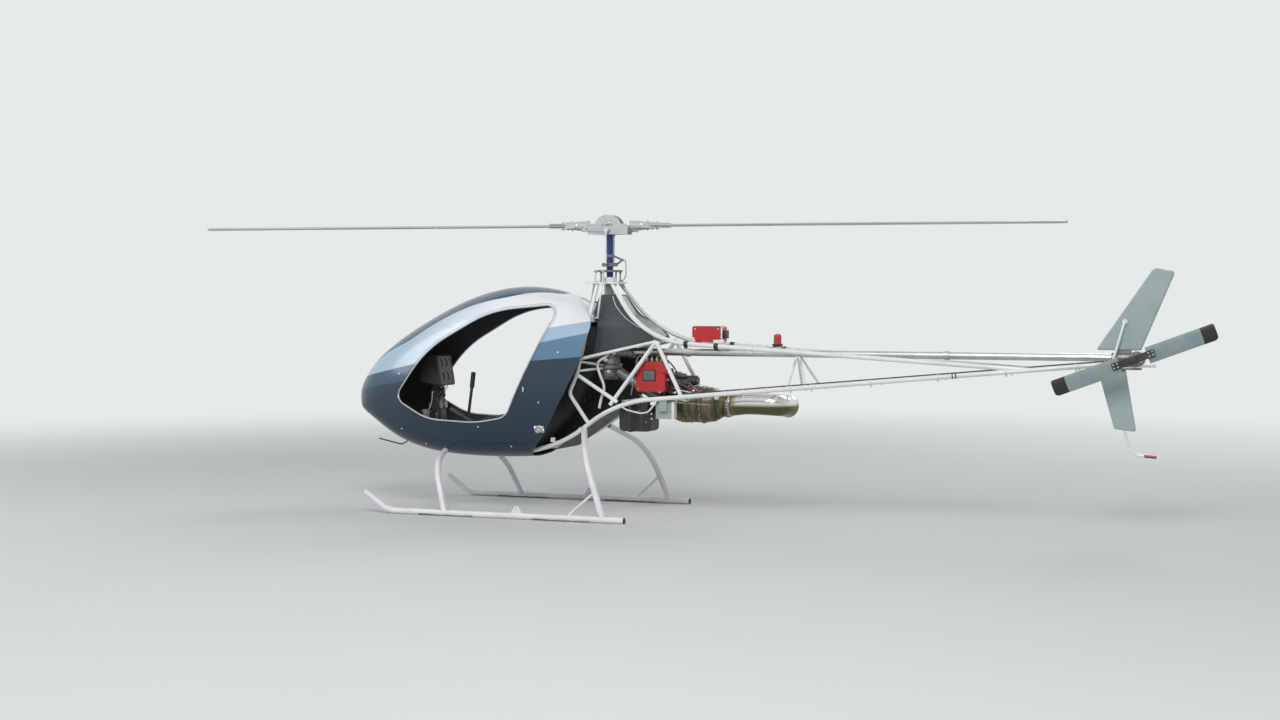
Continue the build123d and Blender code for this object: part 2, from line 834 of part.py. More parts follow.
def tail_drive_tube():
    start = (drive_tube_front_x, 0, drive_tube_z)
    length = drive_tube_rear_x - drive_tube_front_x
    outer = drive_tube_od / 2
    tube = drum(start, (1, 0, 0), length, outer, outer - drive_tube_wall)
    for x in drive_collar_x:
        face = (x - drive_collar_length / 2, 0, drive_tube_z)
        tube += drum(face, (1, 0, 0), drive_collar_length, outer + drive_collar_rise, outer - drive_tube_wall / 2)
    return tube


def tank_floor_z(x):
    return at_x(*waist_line, x)[2] + brace_od / 2 + fit


def tank_form(inset):
    rows = [(x, tank_floor_z(x), radius) for x, radius in zip(tank_floor_x, (20.0, 16.0))] + tank_side
    half_rows = [(y, z, radius) for y, z, radius in tank_front]
    front_rows = half_rows + [(-y, z, radius) for y, z, radius in reversed(half_rows)]
    side_face = offset(filleted_face(rows), amount=-inset) if inset else filleted_face(rows)
    front_face = offset(filleted_face(front_rows), amount=-inset) if inset else filleted_face(front_rows)
    side = extrude(Plane.XZ * side_face, amount=cabin_span / 2, both=True)
    front = extrude(Plane.YZ * front_face, amount=cabin_span / 2, both=True)
    neck_radius = mast_tube_radius + tank_clearance + inset
    tunnel = drum((0, 0, gearbox_flange_z), (0, 0, 1), 600, neck_radius)
    well_rows = [
        (gearbox_flange_z, gearbox_radius + 8 + inset),
        (drive_tube_z + 56, gearbox_radius + 4 + inset),
        (drive_tube_z + 112, 56.0 + inset),
        (drive_tube_z + 150, neck_radius),
    ]
    well = revolved(well_rows, (0, 0, 0), (0, 0, 1))
    channel = drum((0, 0, drive_tube_z), (1, 0, 0), drive_tube_front_x + 20 + inset, output_radius + 14 + inset)
    tank = (side & front) - tunnel - well - channel - rear_prism(-15.0 - inset)
    rails = upper_envelope(4.0 + inset)
    return tank - rails - mirrored(rails)


def fuel_tank():
    return tank_form(0) - tank_form(tank_wall)


def engine():
    # The rotating core is left out: the case is a thick wall round an empty middle.
    rows = [(engine_front_x + along, radius) for along, radius in engine_rows]
    rows.append((exhaust_front_x - fit, engine_rows[-1][1]))
    core = [(x, radius - engine_wall) for x, radius in rows[2:-1]]
    case = revolved(rows, (0, 0, engine_axis_z), (1, 0, 0))
    return case - revolved(core, (0, 0, engine_axis_z), (1, 0, 0))


def engine_mounts():
    mounts = []
    for x in engine_mount_feet:
        foot = at_x(lower_bend, boom_end, x)
        arm = rod(foot, (engine_mount_x, 90.0, engine_axis_z + 20), engine_mount_od, tube_wall)
        mounts.append(arm - lower_solid - engine_envelope())
    return mounts


def engine_envelope():
    # The engine's outline with its deep neck filled, from the accessory face to the tail cone.
    rows = [(engine_front_x - 100, 96.0)] + [(engine_front_x + along, max(radius, 96.0)) for along, radius in engine_rows[2:]]
    return revolved([(x, radius + fit) for x, radius in rows], (0, 0, engine_axis_z), (1, 0, 0))


def engine_accessories():
    # Gear case on the neck, with the starter, fuel pump and oil filter on its rear face.
    case_x = (engine_front_x + 20, engine_front_x + 120)
    case = rounded_block(case_x, (-84, 84), (engine_axis_z + 86, accessory_top_z), 14.0)
    for y, z, length, radius in ((34.0, 950.0, 130.0, 36.0), (-46.0, 936.0, 86.0, 28.0), (-20.0, 985.0, 60.0, 18.0)):
        case += drum((case_x[1] - 1, y, z), (1, 0, 0), length, radius)
        case += drum((case_x[1] + length - 1, y, z), (1, 0, 0), 12.0, 0.7 * radius)
    filler = drum((case_x[0] + 30, 50, accessory_top_z - 1), (0, 0, 1), 24.0, 16.0)
    return case + filler - engine_envelope()


def exhaust_pipe():
    line = [
        (exhaust_front_x, 0, engine_axis_z),
        (exhaust_front_x + 60, 0, engine_axis_z),
        (exhaust_front_x + 160, 0, exhaust_axis_z),
        (exhaust_rear_x + 20, 0, exhaust_axis_z - 20),
    ]
    pipe = bent_tube(line, (120.0, 160.0), 2 * exhaust_radius, exhaust_wall)
    lip_start = mix(line[2], line[3], 0.94)
    lip = rod(lip_start, line[3], 2 * (exhaust_radius + exhaust_lip), exhaust_wall + exhaust_lip)
    beyond = Pos(exhaust_rear_x, 0, exhaust_axis_z) * Rot(0, exhaust_slant, 0) * Pos(200, 0, 0) * Box(400, 400, 600)
    inner = exhaust_radius - exhaust_wall
    flange = drum(line[0], (1, 0, 0), exhaust_flange_thickness, exhaust_radius + exhaust_flange_width, inner)
    return pipe + lip - beyond + flange


def hollow_case(ranges, radius):
    inner = [(low + box_wall, high - box_wall) for low, high in ranges]
    return rounded_block(*ranges, radius) - rounded_block(*inner, radius - box_wall)


def battery_box():
    x, y, z = battery_case
    rim = battery_lid_rise
    case = rounded_block(*battery_case, battery_corner)
    lid = rounded_block((x[0] - rim, x[1] + rim), (y[0] - rim, y[1] + rim), (z[1] - 24, z[1] - 4), rim)
    hanger = block((x[1] - 62, x[1] - 12), (y[0] - 50, y[0] + 6), (z[1] - 34, z[1] + 46)) - mirrored(lower_solid)
    bar_z = at_x(lower_bend, boom_end, cross_tube_x)[2]
    strap = block((cross_tube_x - 12, cross_tube_x + 12), (y[1] - 106, y[1] - 46), (z[1] - 6, bar_z))
    strap -= drum((cross_tube_x, -cabin_span, bar_z), (0, 1, 0), 2 * cabin_span, brace_od / 2 + fit)
    return case + lid + hanger + strap


def grey_box():
    x, y, z = grey_case
    bracket = block((x[0] + 32, x[1] - 30), (y[0] - 22, y[0] + 10), (z[1] - 62, z[1] + 24)) - mirrored(lower_solid)
    return hollow_case(grey_case, grey_corner) + bracket


def red_control_box():
    x, y, z = control_case
    case = hollow_case(control_case, control_corner)
    panel = rounded_block((x[0] + 32, x[1] - 84), (y[0] - 4, y[0] + 1), (z[0] + 83, z[1] - 37), 6.0)
    for line, start_x in ((fore_leg, x[0] + 32), (aft_leg, x[1] - 28)):
        top, low = line
        end = port(mix(top, low, (top[2] - red_box_arm_z) / (top[2] - low[2])))
        arm = rod((start_x, y[0] + 10, red_box_arm_z), end, red_box_arm_od)
        arm -= block((x[0] + box_wall, x[1] - box_wall), (y[0] + box_wall, y[1]), z)
        case += arm - mirrored(rod(*line, strut_od + 2 * fit))
    return case + panel


def top_equipment_box():
    x, y, z = top_case
    bar_x = top_tube_x[1]
    bar_top = at_x(upper_bend, upper_join, bar_x)[2] + brace_od / 2 + fit
    spacer = block((bar_x - 10, bar_x + 10), (y[0] + 20, y[1] - 20), (bar_top, z[0] + 1))
    return hollow_case(top_case, top_case_corner) + spacer


def beacon():
    rail_z = at_x(upper_bend, upper_join, beacon_x - 18)
    saddle_z = rail_z[2] + longeron_od / 2 + fit
    saddle = block((beacon_x - 18, beacon_x + 18), (-rail_z[1], rail_z[1]), (saddle_z, saddle_z + saddle_thickness))
    base = drum((beacon_x, 0, saddle_z + 1), (0, 0, 1), 13.0, beacon_radius)
    top = saddle_z + beacon_height
    lens = revolved([(saddle_z + 14, 28.0), (top - 16, 27.0), (top - 5, 22.0), (top, 12.0)], (beacon_x, 0, 0), (0, 0, 1))
    return saddle + base + lens


def cross_tubes():
    tubes = []
    rows = [(lower_bend, boom_end, lower_solid, (cross_tube_x,)),
            (upper_bend, upper_join, upper_solid, top_tube_x),
            (*waist_line, rod(*waist_line, brace_od + 2 * fit), tank_bar_x)]
    for start, end, envelope, places in rows:
        for x in places:
            point = at_x(start, end, x)
            tubes.append(rod(point, port(point), brace_od, tube_wall) - envelope - mirrored(envelope))
    return tubes


def boom_braces():
    braces = []
    apex_x = drive_collar_x[1]
    clamp = drum((apex_x - 60, 0, drive_tube_z), (1, 0, 0), 120.0, drive_tube_od / 2 + drive_collar_rise + fit)
    for shift in boom_brace_feet:
        foot = at_x(lower_bend, boom_end, apex_x + shift)
        start = (apex_x + math.copysign(6, shift), 8.0, drive_tube_z - 10)
        braces.append(rod(start, foot, boom_brace_od, tube_wall) - lower_solid - clamp)
    return braces


# Tail

def tail_gearbox():
    case_rows = [(-76.0, tail_case_radius - 10), (-60.0, tail_case_radius), (40.0, tail_case_radius), (52.0, tail_case_radius - 10)]
    core_rows = [(y, radius - tail_case_wall) for y, radius in case_rows[1:3]]
    body = revolved(case_rows, (tail_arm, 0, tail_hub_z), (0, -1, 0))
    body -= revolved(core_rows, (tail_arm, 0, tail_hub_z), (0, -1, 0))
    body += drum((drive_tube_rear_x + fit, 0, drive_tube_z), (1, 0, 0), tail_arm - drive_tube_rear_x - 30, drive_tube_od / 2 + 9)
    shaft_end = tail_hub_y + tail_hub_height + fit
    body += drum((tail_arm, -tail_case_radius, tail_hub_z), (0, -1, 0), -shaft_end - tail_case_radius, tail_shaft_radius)
    half_plate = fin_plate_thickness / 2
    upper_root = boom_end_z + upper_fin_outline[0][1]
    body += block((tail_arm - 135, tail_arm - 35), (-half_plate, half_plate), (drive_tube_z + 10, upper_root - fit))
    low = boom_end_z - tail_plate_drop
    plate = block((boom_end_x - 60, tail_arm + 30), (-30, 30), (low, low + tail_plate_thickness))
    inner = boom_end_half - 18
    yoke = block((boom_end_x - 30, boom_end_x + 10), (-inner, inner), (low, boom_end_z + 10))
    return body + plate + yoke - lower_solid - mirrored(lower_solid)


def tail_outline(rows, rise):
    return filleted_face([(tail_arm + x, rise + z, radius) for x, z, radius in rows])


def fin(rows):
    outline = tail_outline(rows, boom_end_z)
    blade = extrude(Plane.XZ * outline, amount=fin_thickness / 2, both=True)
    sides = blade.faces().sort_by(Axis.Y)
    blade = fillet(sides[0].edges() + sides[-1].edges(), fin_edge)
    core = offset(outline, amount=-fin_edge - fin_skin)
    return blade - extrude(Plane.XZ * core, amount=fin_thickness / 2 - fin_skin, both=True)


def upper_fin():
    return fin(upper_fin_outline)


def lower_fin():
    low_plate = boom_end_z - tail_plate_drop
    return fin(lower_fin_outline) & block((0, 2 * tail_arm), (-cabin_span, cabin_span), (0, low_plate - fit))


def tail_skid():
    points = [(tail_arm + x, y, boom_end_z + z) for x, y, z in tail_skid_line]
    outline = extrude(Plane.XZ * tail_outline(lower_fin_outline, boom_end_z), amount=fin_thickness / 2 + fit, both=True)
    return bent_tube(points, (tail_skid_bend,), tail_skid_od) - outline


def stabiliser():
    low = boom_end_z - tail_plate_drop + tail_plate_thickness + fit
    plane = extrude(Pos(0, 0, low) * tail_outline(stabiliser_outline, 0), amount=stabiliser_thickness)
    sides = plane.faces().sort_by(Axis.Z)
    plane = fillet(sides[0].edges() + sides[-1].edges(), stabiliser_edge)
    core = offset(tail_outline(stabiliser_outline, 0), amount=-stabiliser_edge - fin_skin)
    plane -= extrude(Pos(0, 0, low + fin_skin) * core, amount=stabiliser_thickness - 2 * fin_skin)
    tongue = block((tail_arm - 95, tail_arm - 32), (10, stabiliser_outline[0][1] + 2), (low, low + fin_skin))
    return plane + tongue - lower_solid


def fin_strut():
    low = (boom_end_x - 4, -boom_end_half + 4, boom_end_z + 23)
    high = (boom_end_x + 64, -fin_thickness / 2 - 11, boom_end_z + 274)
    pad = drum((high[0], -fin_thickness / 2 - fit, high[2]), (0, -1, 0), 14.0, 17.0)
    return rod(low, high, fin_strut_od) + pad - lower_solid - mirrored(lower_solid)


# Rotating mast and swashplate

def mast_top_plate():
    low = top_plate_z - top_plate_thickness / 2
    plate = block((-top_plate_front, top_plate_rear), (-top_plate_half_width, top_plate_half_width), (low, plate_top_z))
    plate = fillet(plate.edges().filter_by(Axis.Z), 24.0)
    bearing = drum((0, 0, plate_top_z), (0, 0, 1), bearing_height, bearing_radius)
    bore = drum((0, 0, low - 1), (0, 0, 1), 2 * bearing_height + 100, mast_radius + fit)
    return plate + bearing - bore


def mast_shaft():
    low = top_plate_z - top_plate_thickness / 2
    shaft = drum((0, 0, low), (0, 0, 1), hub_z - low - mast_block_radius / 2, mast_radius)
    head = drum((0, mast_block_half_width, hub_z), (0, -1, 0), 2 * mast_block_half_width, mast_block_radius)
    neck_x = mast_block_radius - 4
    neck_y = mast_block_half_width - 14
    neck = block((-neck_x, neck_x), (-neck_y, neck_y), (hub_z - 90, hub_z))
    bore = drum((0, 2 * mast_block_half_width, hub_z), (0, -1, 0), 4 * mast_block_half_width, teeter_bolt_radius + fit)
    return shaft + neck + head - bore


def upper_swashplate():
    # The plate turns with the mast: a collar above it drives it through a pair of scissor arms.
    disc = drum((0, 0, upper_plate_z), (0, 0, 1), upper_plate_thickness, upper_plate_radius)
    ear_z = (upper_plate_z + 6, upper_plate_z + 20)
    ears = block((-9, 9), (-horn_offset - 24, horn_offset + 24), ear_z)
    collar_z = upper_plate_z + upper_plate_thickness + scissor_rise
    collar = drum((0, 0, collar_z), (0, 0, 1), scissor_width, mast_radius + 10)
    knee = (scissor_reach, 0, (upper_plate_z + collar_z) / 2 + 14)
    upper_arm = rod((mast_radius + 4, 0, collar_z + scissor_width / 2), knee, scissor_width * 0.7)
    lower_arm = rod((upper_plate_radius - 8, 0, upper_plate_z + upper_plate_thickness / 2), knee, scissor_width * 0.7)
    pin = drum((knee[0], scissor_width, knee[2]), (0, -1, 0), 2 * scissor_width, scissor_width * 0.45)
    bore = drum((0, 0, upper_plate_z - 100), (0, 0, 1), 400, mast_radius + fit)
    return disc + ears + collar + upper_arm + lower_arm + pin - bore


def pitch_links():
    links = []
    for side in (1, -1):
        y = side * (horn_offset + 14)
        link = drum((0, y, upper_plate_z + 20 + fit), (0, 0, 1), horn_height - upper_plate_z - 20, link_rod_radius)
        eye = drum((0, y - side * 6, horn_height), (0, side, 0), 12.0, 12.0)
        pin = drum((0, y + side * 6, horn_height), (0, -side, 0), 34.0, link_pin_radius)
        links.append(link + eye + pin)
    return links


def lower_swashplate():
    ring = drum((0, 0, lower_ring_z), (0, 0, 1), lower_ring_thickness, lower_ring_radius, lower_ring_bore)
    base = plate_top_z + fit
    circle = PolarLocations(control_rod_circle, 3)
    for place in circle.locations:
        x, y, _ = place.position
        ring += drum((x, y, base), (0, 0, 1), lower_ring_z - base + 2, control_rod_radius)
        ring += drum((x, y, base), (0, 0, 1), 10.0, 2 * control_rod_radius)
        ring += drum((x, y, lower_ring_z - 12), (0, 0, 1), 12.0, 1.7 * control_rod_radius)
    return ring


# Rotor head, span along +X before it is turned to the rotor's azimuth

def rotor_turned(shape):
    return Rot(0, 0, rotor_azimuth) * shape


def rotor_yoke():
    low = rotor_plane_z - hub_plate_drop
    dome_z = rotor_plane_z - 20
    dome = Pos(0, dome_z) * Circle(hub_plate_radius)
    foot = Pos(0, (low + dome_z) / 2) * Rectangle(2 * hub_plate_length, dome_z - low)
    below = Pos(0, low - hub_plate_length) * Rectangle(4 * hub_plate_length, 2 * hub_plate_length)
    outline = dome + foot - below
    yoke = []
    for side in (1, -1):
        face = side * (hub_plate_offset - hub_plate_thickness / 2)
        plane = Plane(origin=(0, face, 0), x_dir=(1, 0, 0), z_dir=(0, -1, 0))
        yoke.append(extrude(plane * outline, amount=-side * hub_plate_thickness))
        spacer_x = sorted((side * 66.0, side * (grip_inner - fit)))
        yoke.append(block(spacer_x, (-hub_plate_offset, hub_plate_offset), (rotor_plane_z - 40, rotor_plane_z + 14)))
        nut_y = side * (hub_plate_offset + 22)
        yoke.append(drum((0, nut_y, hub_z), (0, -side, 0), 14, 2 * teeter_bolt_radius))
    yoke.append(drum((0, hub_plate_offset + 22, hub_z), (0, -1, 0), 2 * hub_plate_offset + 44, teeter_bolt_radius))
    return yoke[0].fuse(*yoke[1:])


def grip_with_horn():
    rows = [
        # distance from the mast axis, radius
        (grip_inner, 38.0),
        (grip_inner + 20, 38.0),
        (grip_inner + 26, grip_radius),
        (grip_outer - 60, grip_radius),
        (grip_outer - 50, 30.0),
        (grip_outer, 26.0),
    ]
    grip = revolved(rows, (0, 0, rotor_plane_z), (1, 0, 0))
    horn_x = grip_inner + 26
    corner = (horn_x, horn_offset, horn_height)
    arm = rod((horn_x, 0, rotor_plane_z - 20), corner, 24.0)
    horn = rod(corner, (horn_eye_radius - 4, horn_offset, horn_height), 2 * horn_rod_radius)
    eye = drum((0, horn_offset + 6, horn_height), (0, -1, 0), 12.0, horn_eye_radius)
    hole = drum((0, horn_offset + 40, horn_height), (0, -1, 0), 80.0, horn_eye_bore)
    half_slot = blade_thickness / 2 + fit
    half_strap = blade_thickness / 2 + strap_thickness
    strap_end = grip_outer + strap_length
    straps = block((grip_outer - 50, strap_end), (-grip_radius, grip_radius), (rotor_plane_z - half_strap, rotor_plane_z + half_strap))
    slot = block((blade_root - 1, strap_end + 1), (-2 * grip_radius, 2 * grip_radius), (rotor_plane_z - half_slot, rotor_plane_z + half_slot))
    return grip + arm + horn + eye - hole + (straps - slot)


def airfoil(chord, thickness, lead_share, thickest_share, trail_edge, nose_radius):
    half = thickness / 2
    lead = chord * lead_share
    trail = lead - chord
    thickest = lead - chord * thickest_share
    face = make_face([
        TangentArc((thickest, half), (lead, 0), tangent=(1, 0)),
        TangentArc((thickest, -half), (lead, 0), tangent=(1, 0)),
        TangentArc((thickest, half), (trail, trail_edge), tangent=(-1, 0)),
        TangentArc((thickest, -half), (trail, -trail_edge), tangent=(-1, 0)),
        Line((trail, trail_edge), (trail, -trail_edge)),
    ])
    return fillet(face.vertices().sort_by(Axis.X)[-1], nose_radius)


def main_blade():
    face = airfoil(blade_chord, blade_thickness, 0.27, 0.3, 1.0, 5.0)
    plane = Plane(origin=(blade_root, 0, rotor_plane_z), x_dir=(0, 1, 0), z_dir=(1, 0, 0))
    return extrude(plane * face, amount=rotor_radius - blade_root)


# Tail rotor

def tail_turned(shape):
    return Pos(tail_arm, tail_hub_y, tail_hub_z) * Rot(0, -tail_blade_angle, 0) * shape


def tail_rotor_hub():
    hub = drum((0, tail_hub_height, 0), (0, -1, 0), tail_hub_height + 28, tail_hub_radius)
    cap = revolved([(28, tail_hub_radius), (34, 22.0), (40, 12.0)], (0, 0, 0), (0, -1, 0))
    half_slot = tail_blade_thickness / 2 + fit
    half_yoke = half_slot + tail_strap
    reach = tail_blade_root + 50
    yoke = block((-reach, reach), (-half_yoke, half_yoke), (-24, 24))
    yoke = fillet(yoke.edges().filter_by(Axis.Y), 12.0)
    slot = block((tail_blade_root - 2, 2 * reach), (-half_slot, half_slot), (-60, 60))
    return tail_turned(hub + cap + yoke - slot - mirror(slot, about=Plane.YZ))


def tail_blade():
    length = tail_rotor_radius - tail_blade_root
    plan = Pos((tail_rotor_radius + tail_blade_root) / 2, 0) * Rectangle(length, tail_blade_chord)
    plan = fillet(plan.vertices().group_by(Axis.X)[-1], tail_blade_tip)
    plan = extrude(Plane.XZ * plan, amount=tail_blade_thickness, both=True)
    face = airfoil(tail_blade_chord, tail_blade_thickness, 0.5, 0.34, 0.8, 3.0)
    plane = Plane(origin=(tail_blade_root, 0, 0), x_dir=(0, 0, 1), z_dir=(1, 0, 0))
    return extrude(plane * face, amount=length) & plan


# Nodes

def pair(shape):
    return shape, mirrored(shape)


def half_turn(shape):
    return Rot(0, 0, 180) * shape


def build_nodes():
    nodes = {}
    nodes["cabin_starboard"], nodes["cabin_port"] = cabin_shell()
    nodes["windshield"] = windshield()
    nodes["bulkhead"] = bulkhead()
    nodes["cabin_floor"] = cabin_floor()
    nodes["seat_pan"] = seat_pan()
    nodes["seat_cushion"] = seat_cushion()
    nodes["back_cushion"] = back_cushion()
    nodes["instrument_pod"] = instrument_pod()
    nodes["cyclic_stick"] = cyclic_stick()
    nodes["collective_lever"] = collective_lever()
    nodes["pedals"] = pedals()
    nodes["pitot_tube"] = pitot_tube()
    nodes["lower_longeron_starboard"], nodes["lower_longeron_port"] = pair(lower_longeron())
    nodes["upper_longeron_starboard"], nodes["upper_longeron_port"] = pair(upper_longeron())
    struts = truss_struts()
    nodes["struts_starboard"] = struts
    nodes["struts_port"] = [mirrored(strut) for strut in struts]
    nodes["cross_tubes"] = cross_tubes()
    braces = boom_braces()
    nodes["boom_braces"] = braces + [mirrored(brace) for brace in braces]
    nodes["mast_top_plate"] = mast_top_plate()
    nodes["main_gearbox"] = main_gearbox()
    arms = gearbox_arms()
    nodes["gearbox_arms"] = arms + [mirrored(arm) for arm in arms]
    nodes["tail_drive_tube"] = tail_drive_tube()
    nodes["fuel_tank"] = fuel_tank()
    nodes["engine"] = engine()
    mounts = engine_mounts()
    nodes["engine_mounts"] = mounts + [mirrored(mount) for mount in mounts]
    nodes["engine_accessories"] = engine_accessories()
    nodes["exhaust_pipe"] = exhaust_pipe()
    nodes["battery_box"] = battery_box()
    nodes["grey_box"] = grey_box()
    nodes["red_control_box"] = red_control_box()
    nodes["top_equipment_box"] = top_equipment_box()
    nodes["beacon"] = beacon()
    nodes["upper_fin"] = upper_fin()
    nodes["lower_fin"] = lower_fin()
    nodes["tail_skid"] = tail_skid()
    nodes["stabiliser"] = stabiliser()
    nodes["fin_strut"] = fin_strut()
    nodes["tail_gearbox"] = tail_gearbox()
    nodes["skid_starboard"], nodes["skid_port"] = pair(skid())
    nodes["front_legs"] = pair(leg(front_leg_line, front_leg_radius))
    nodes["rear_legs"] = pair(leg(rear_leg_line, rear_leg_radius))
    nodes["leg_braces"] = pair(leg_brace())
    nodes["wheel_lugs"] = pair(wheel_lug())
    nodes["lower_swashplate"] = lower_swashplate()
    nodes["mast_shaft"] = rotor_turned(mast_shaft())
    nodes["upper_swashplate"] = rotor_turned(upper_swashplate())
    nodes["pitch_links"] = [rotor_turned(link) for link in pitch_links()]
    nodes["rotor_yoke"] = rotor_turned(rotor_yoke())
    grip = grip_with_horn()
    nodes["blade_grips"] = [rotor_turned(grip), rotor_turned(half_turn(grip))]
    nodes["main_blade_aft"] = rotor_turned(main_blade())
    nodes["main_blade_forward"] = rotor_turned(half_turn(main_blade()))
    nodes["tail_rotor_hub"] = tail_rotor_hub()
    blade = tail_blade()
    nodes["tail_blades"] = [tail_turned(blade), tail_turned(mirror(blade, about=Plane.YZ))]
    return nodes


def as_compound(shape):
    solids = []
    for piece in shape if isinstance(shape, (list, tuple)) else [shape]:
        solids += piece.solids()
    return solids[0] if len(solids) == 1 else Compound(children=solids)


def main():
    os.makedirs("parts", exist_ok=True)
    nodes = {name: as_compound(shape) for name, shape in build_nodes().items()}
    boxes = [shape.bounding_box() for shape in nodes.values()]
    low = [min(getattr(box.min, axis) for box in boxes) for axis in "XYZ"]
    high = [max(getattr(box.max, axis) for box in boxes) for axis in "XYZ"]
    shift = Pos(-(low[0] + high[0]) / 2, -(low[1] + high[1]) / 2, -low[2])
    print("origin shift", tuple(shift.position))
    for name, shape in nodes.items():
        export_step(shift * shape, f"parts/{name}.step")


if __name__ == "__main__":
    main()
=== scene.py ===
import math
import random
import bpy
import bmesh
from mathutils import Matrix, Vector
from mathutils.bvhtree import BVHTree


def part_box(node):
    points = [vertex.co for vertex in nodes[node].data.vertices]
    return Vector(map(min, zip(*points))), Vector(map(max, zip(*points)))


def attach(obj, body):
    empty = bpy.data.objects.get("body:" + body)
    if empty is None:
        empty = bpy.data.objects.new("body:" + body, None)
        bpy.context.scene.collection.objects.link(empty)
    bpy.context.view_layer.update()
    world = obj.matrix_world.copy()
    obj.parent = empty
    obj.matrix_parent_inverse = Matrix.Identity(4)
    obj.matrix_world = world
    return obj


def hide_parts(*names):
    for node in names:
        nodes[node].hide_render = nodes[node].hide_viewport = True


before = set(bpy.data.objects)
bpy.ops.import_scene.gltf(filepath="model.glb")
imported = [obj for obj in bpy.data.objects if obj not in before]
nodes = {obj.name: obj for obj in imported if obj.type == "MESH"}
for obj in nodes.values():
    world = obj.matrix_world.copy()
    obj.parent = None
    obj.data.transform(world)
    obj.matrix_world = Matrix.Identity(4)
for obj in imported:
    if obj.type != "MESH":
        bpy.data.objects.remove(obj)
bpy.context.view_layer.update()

print("frame loaded:", len(nodes), "nodes")

# the mast axis is the origin of the design sizes, which are in millimetres
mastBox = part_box("mast_shaft")
mastX = (mastBox[0].x + mastBox[1].x) / 2


def at(x, y, z):
    # design millimetres to metres in the frame
    return Vector((mastX + x / 1000, y / 1000, z / 1000))


# ---- camera, at the photograph's viewing angle
cameraView = {
    "position": (5221, -13088, 1598),
    "turn": 20.873,  # degrees towards the nose
    "tilt": -2.074,
    "roll": -0.046,
    "lens": 55.45,
    "sensor": 36.0,
    "clip": (0.1, 200.0),
}


def addObject(name, data):
    made = bpy.data.objects.new(name, data)
    bpy.context.scene.collection.objects.link(made)
    return made


def makeCamera(view):
    data = bpy.data.cameras.new("viewCamera")
    data.lens = view["lens"]
    data.sensor_width = view["sensor"]
    data.clip_start, data.clip_end = view["clip"]
    camera = addObject("viewCamera", data)
    camera.location = at(*view["position"])
    turns = (90 + view["tilt"], view["roll"], view["turn"])
    camera.rotation_euler = [math.radians(turn) for turn in turns]
    bpy.context.scene.camera = camera


makeCamera(cameraView)
print("camera placed")


# ---- shared shader groups

def addLink(tree, start, end):
    tree.links.new(start, end)


def mathNode(tree, operation, *values):
    # each value is a number or a socket
    node = tree.nodes.new("ShaderNodeMath")
    node.operation = operation
    for socket, value in zip(node.inputs, values):
        if isinstance(value, (int, float)):
            socket.default_value = value
        else:
            addLink(tree, value, socket)
    return node.outputs[0]


def rangeNode(tree, value, source=(0.0, 1.0), target=(0.0, 1.0), kind="LINEAR"):
    node = tree.nodes.new("ShaderNodeMapRange")
    node.interpolation_type = kind
    for label, number in zip(("From Min", "From Max", "To Min", "To Max"), (*source, *target)):
        node.inputs[label].default_value = number
    addLink(tree, value, node.inputs["Value"])
    return node.outputs["Result"]


def addBump(tree, shader, height, strength, distance):
    bump = tree.nodes.new("ShaderNodeBump")
    bump.inputs["Strength"].default_value = strength
    bump.inputs["Distance"].default_value = distance
    addLink(tree, height, bump.inputs["Height"])
    addLink(tree, bump.outputs["Normal"], shader.inputs["Normal"])


def newGroup(name, inputs, outputs):
    group = bpy.data.node_groups.new(name, "ShaderNodeTree")
    for socketName, kind, value in inputs:
        socket = group.interface.new_socket(socketName, in_out="INPUT", socket_type=kind)
        if value is not None:
            socket.default_value = value
    for socketName, kind in outputs:
        group.interface.new_socket(socketName, in_out="OUTPUT", socket_type=kind)
    start = group.nodes.new("NodeGroupInput")
    end = group.nodes.new("NodeGroupOutput")
    return group, start, end


def objectCoords(tree):
    return tree.nodes.new("ShaderNodeTexCoord").outputs["Object"]


def makePatchGroup():
    # soft uneven patches: dust, handling marks, faded paint
    group, start, end = newGroup(
        "unevenPatches",
        [("Scale", "NodeSocketFloat", 4.0), ("Low", "NodeSocketFloat", 0.45), ("High", "NodeSocketFloat", 0.7),
         ("Stretch", "NodeSocketVector", (1.0, 1.0, 1.0))],
        [("Mask", "NodeSocketFloat")],
    )
    mapping = group.nodes.new("ShaderNodeMapping")
    noise = group.nodes.new("ShaderNodeTexNoise")
    noise.inputs["Detail"].default_value = 6.0
    noise.inputs["Roughness"].default_value = 0.62
    limits = group.nodes.new("ShaderNodeMapRange")
    addLink(group, objectCoords(group), mapping.inputs["Vector"])
    addLink(group, start.outputs["Stretch"], mapping.inputs["Scale"])
    addLink(group, mapping.outputs["Vector"], noise.inputs["Vector"])
    addLink(group, start.outputs["Scale"], noise.inputs["Scale"])
    addLink(group, noise.outputs["Fac"], limits.inputs["Value"])
    addLink(group, start.outputs["Low"], limits.inputs["From Min"])
    addLink(group, start.outputs["High"], limits.inputs["From Max"])
    addLink(group, limits.outputs["Result"], end.inputs["Mask"])
    return group


def makeGrainGroup():
    # fine height for cast, moulded and sprayed surfaces
    group, start, end = newGroup(
        "fineGrain",
        [("Scale", "NodeSocketFloat", 300.0), ("Stretch", "NodeSocketVector", (1.0, 1.0, 1.0))],
        [("Height", "NodeSocketFloat")],
    )
    mapping = group.nodes.new("ShaderNodeMapping")
    noise = group.nodes.new("ShaderNodeTexNoise")
    noise.inputs["Detail"].default_value = 3.0
    addLink(group, objectCoords(group), mapping.inputs["Vector"])
    addLink(group, start.outputs["Stretch"], mapping.inputs["Scale"])
    addLink(group, mapping.outputs["Vector"], noise.inputs["Vector"])
    addLink(group, start.outputs["Scale"], noise.inputs["Scale"])
    addLink(group, noise.outputs["Fac"], end.inputs["Height"])
    return group


patchGroup = makePatchGroup()
grainGroup = makeGrainGroup()


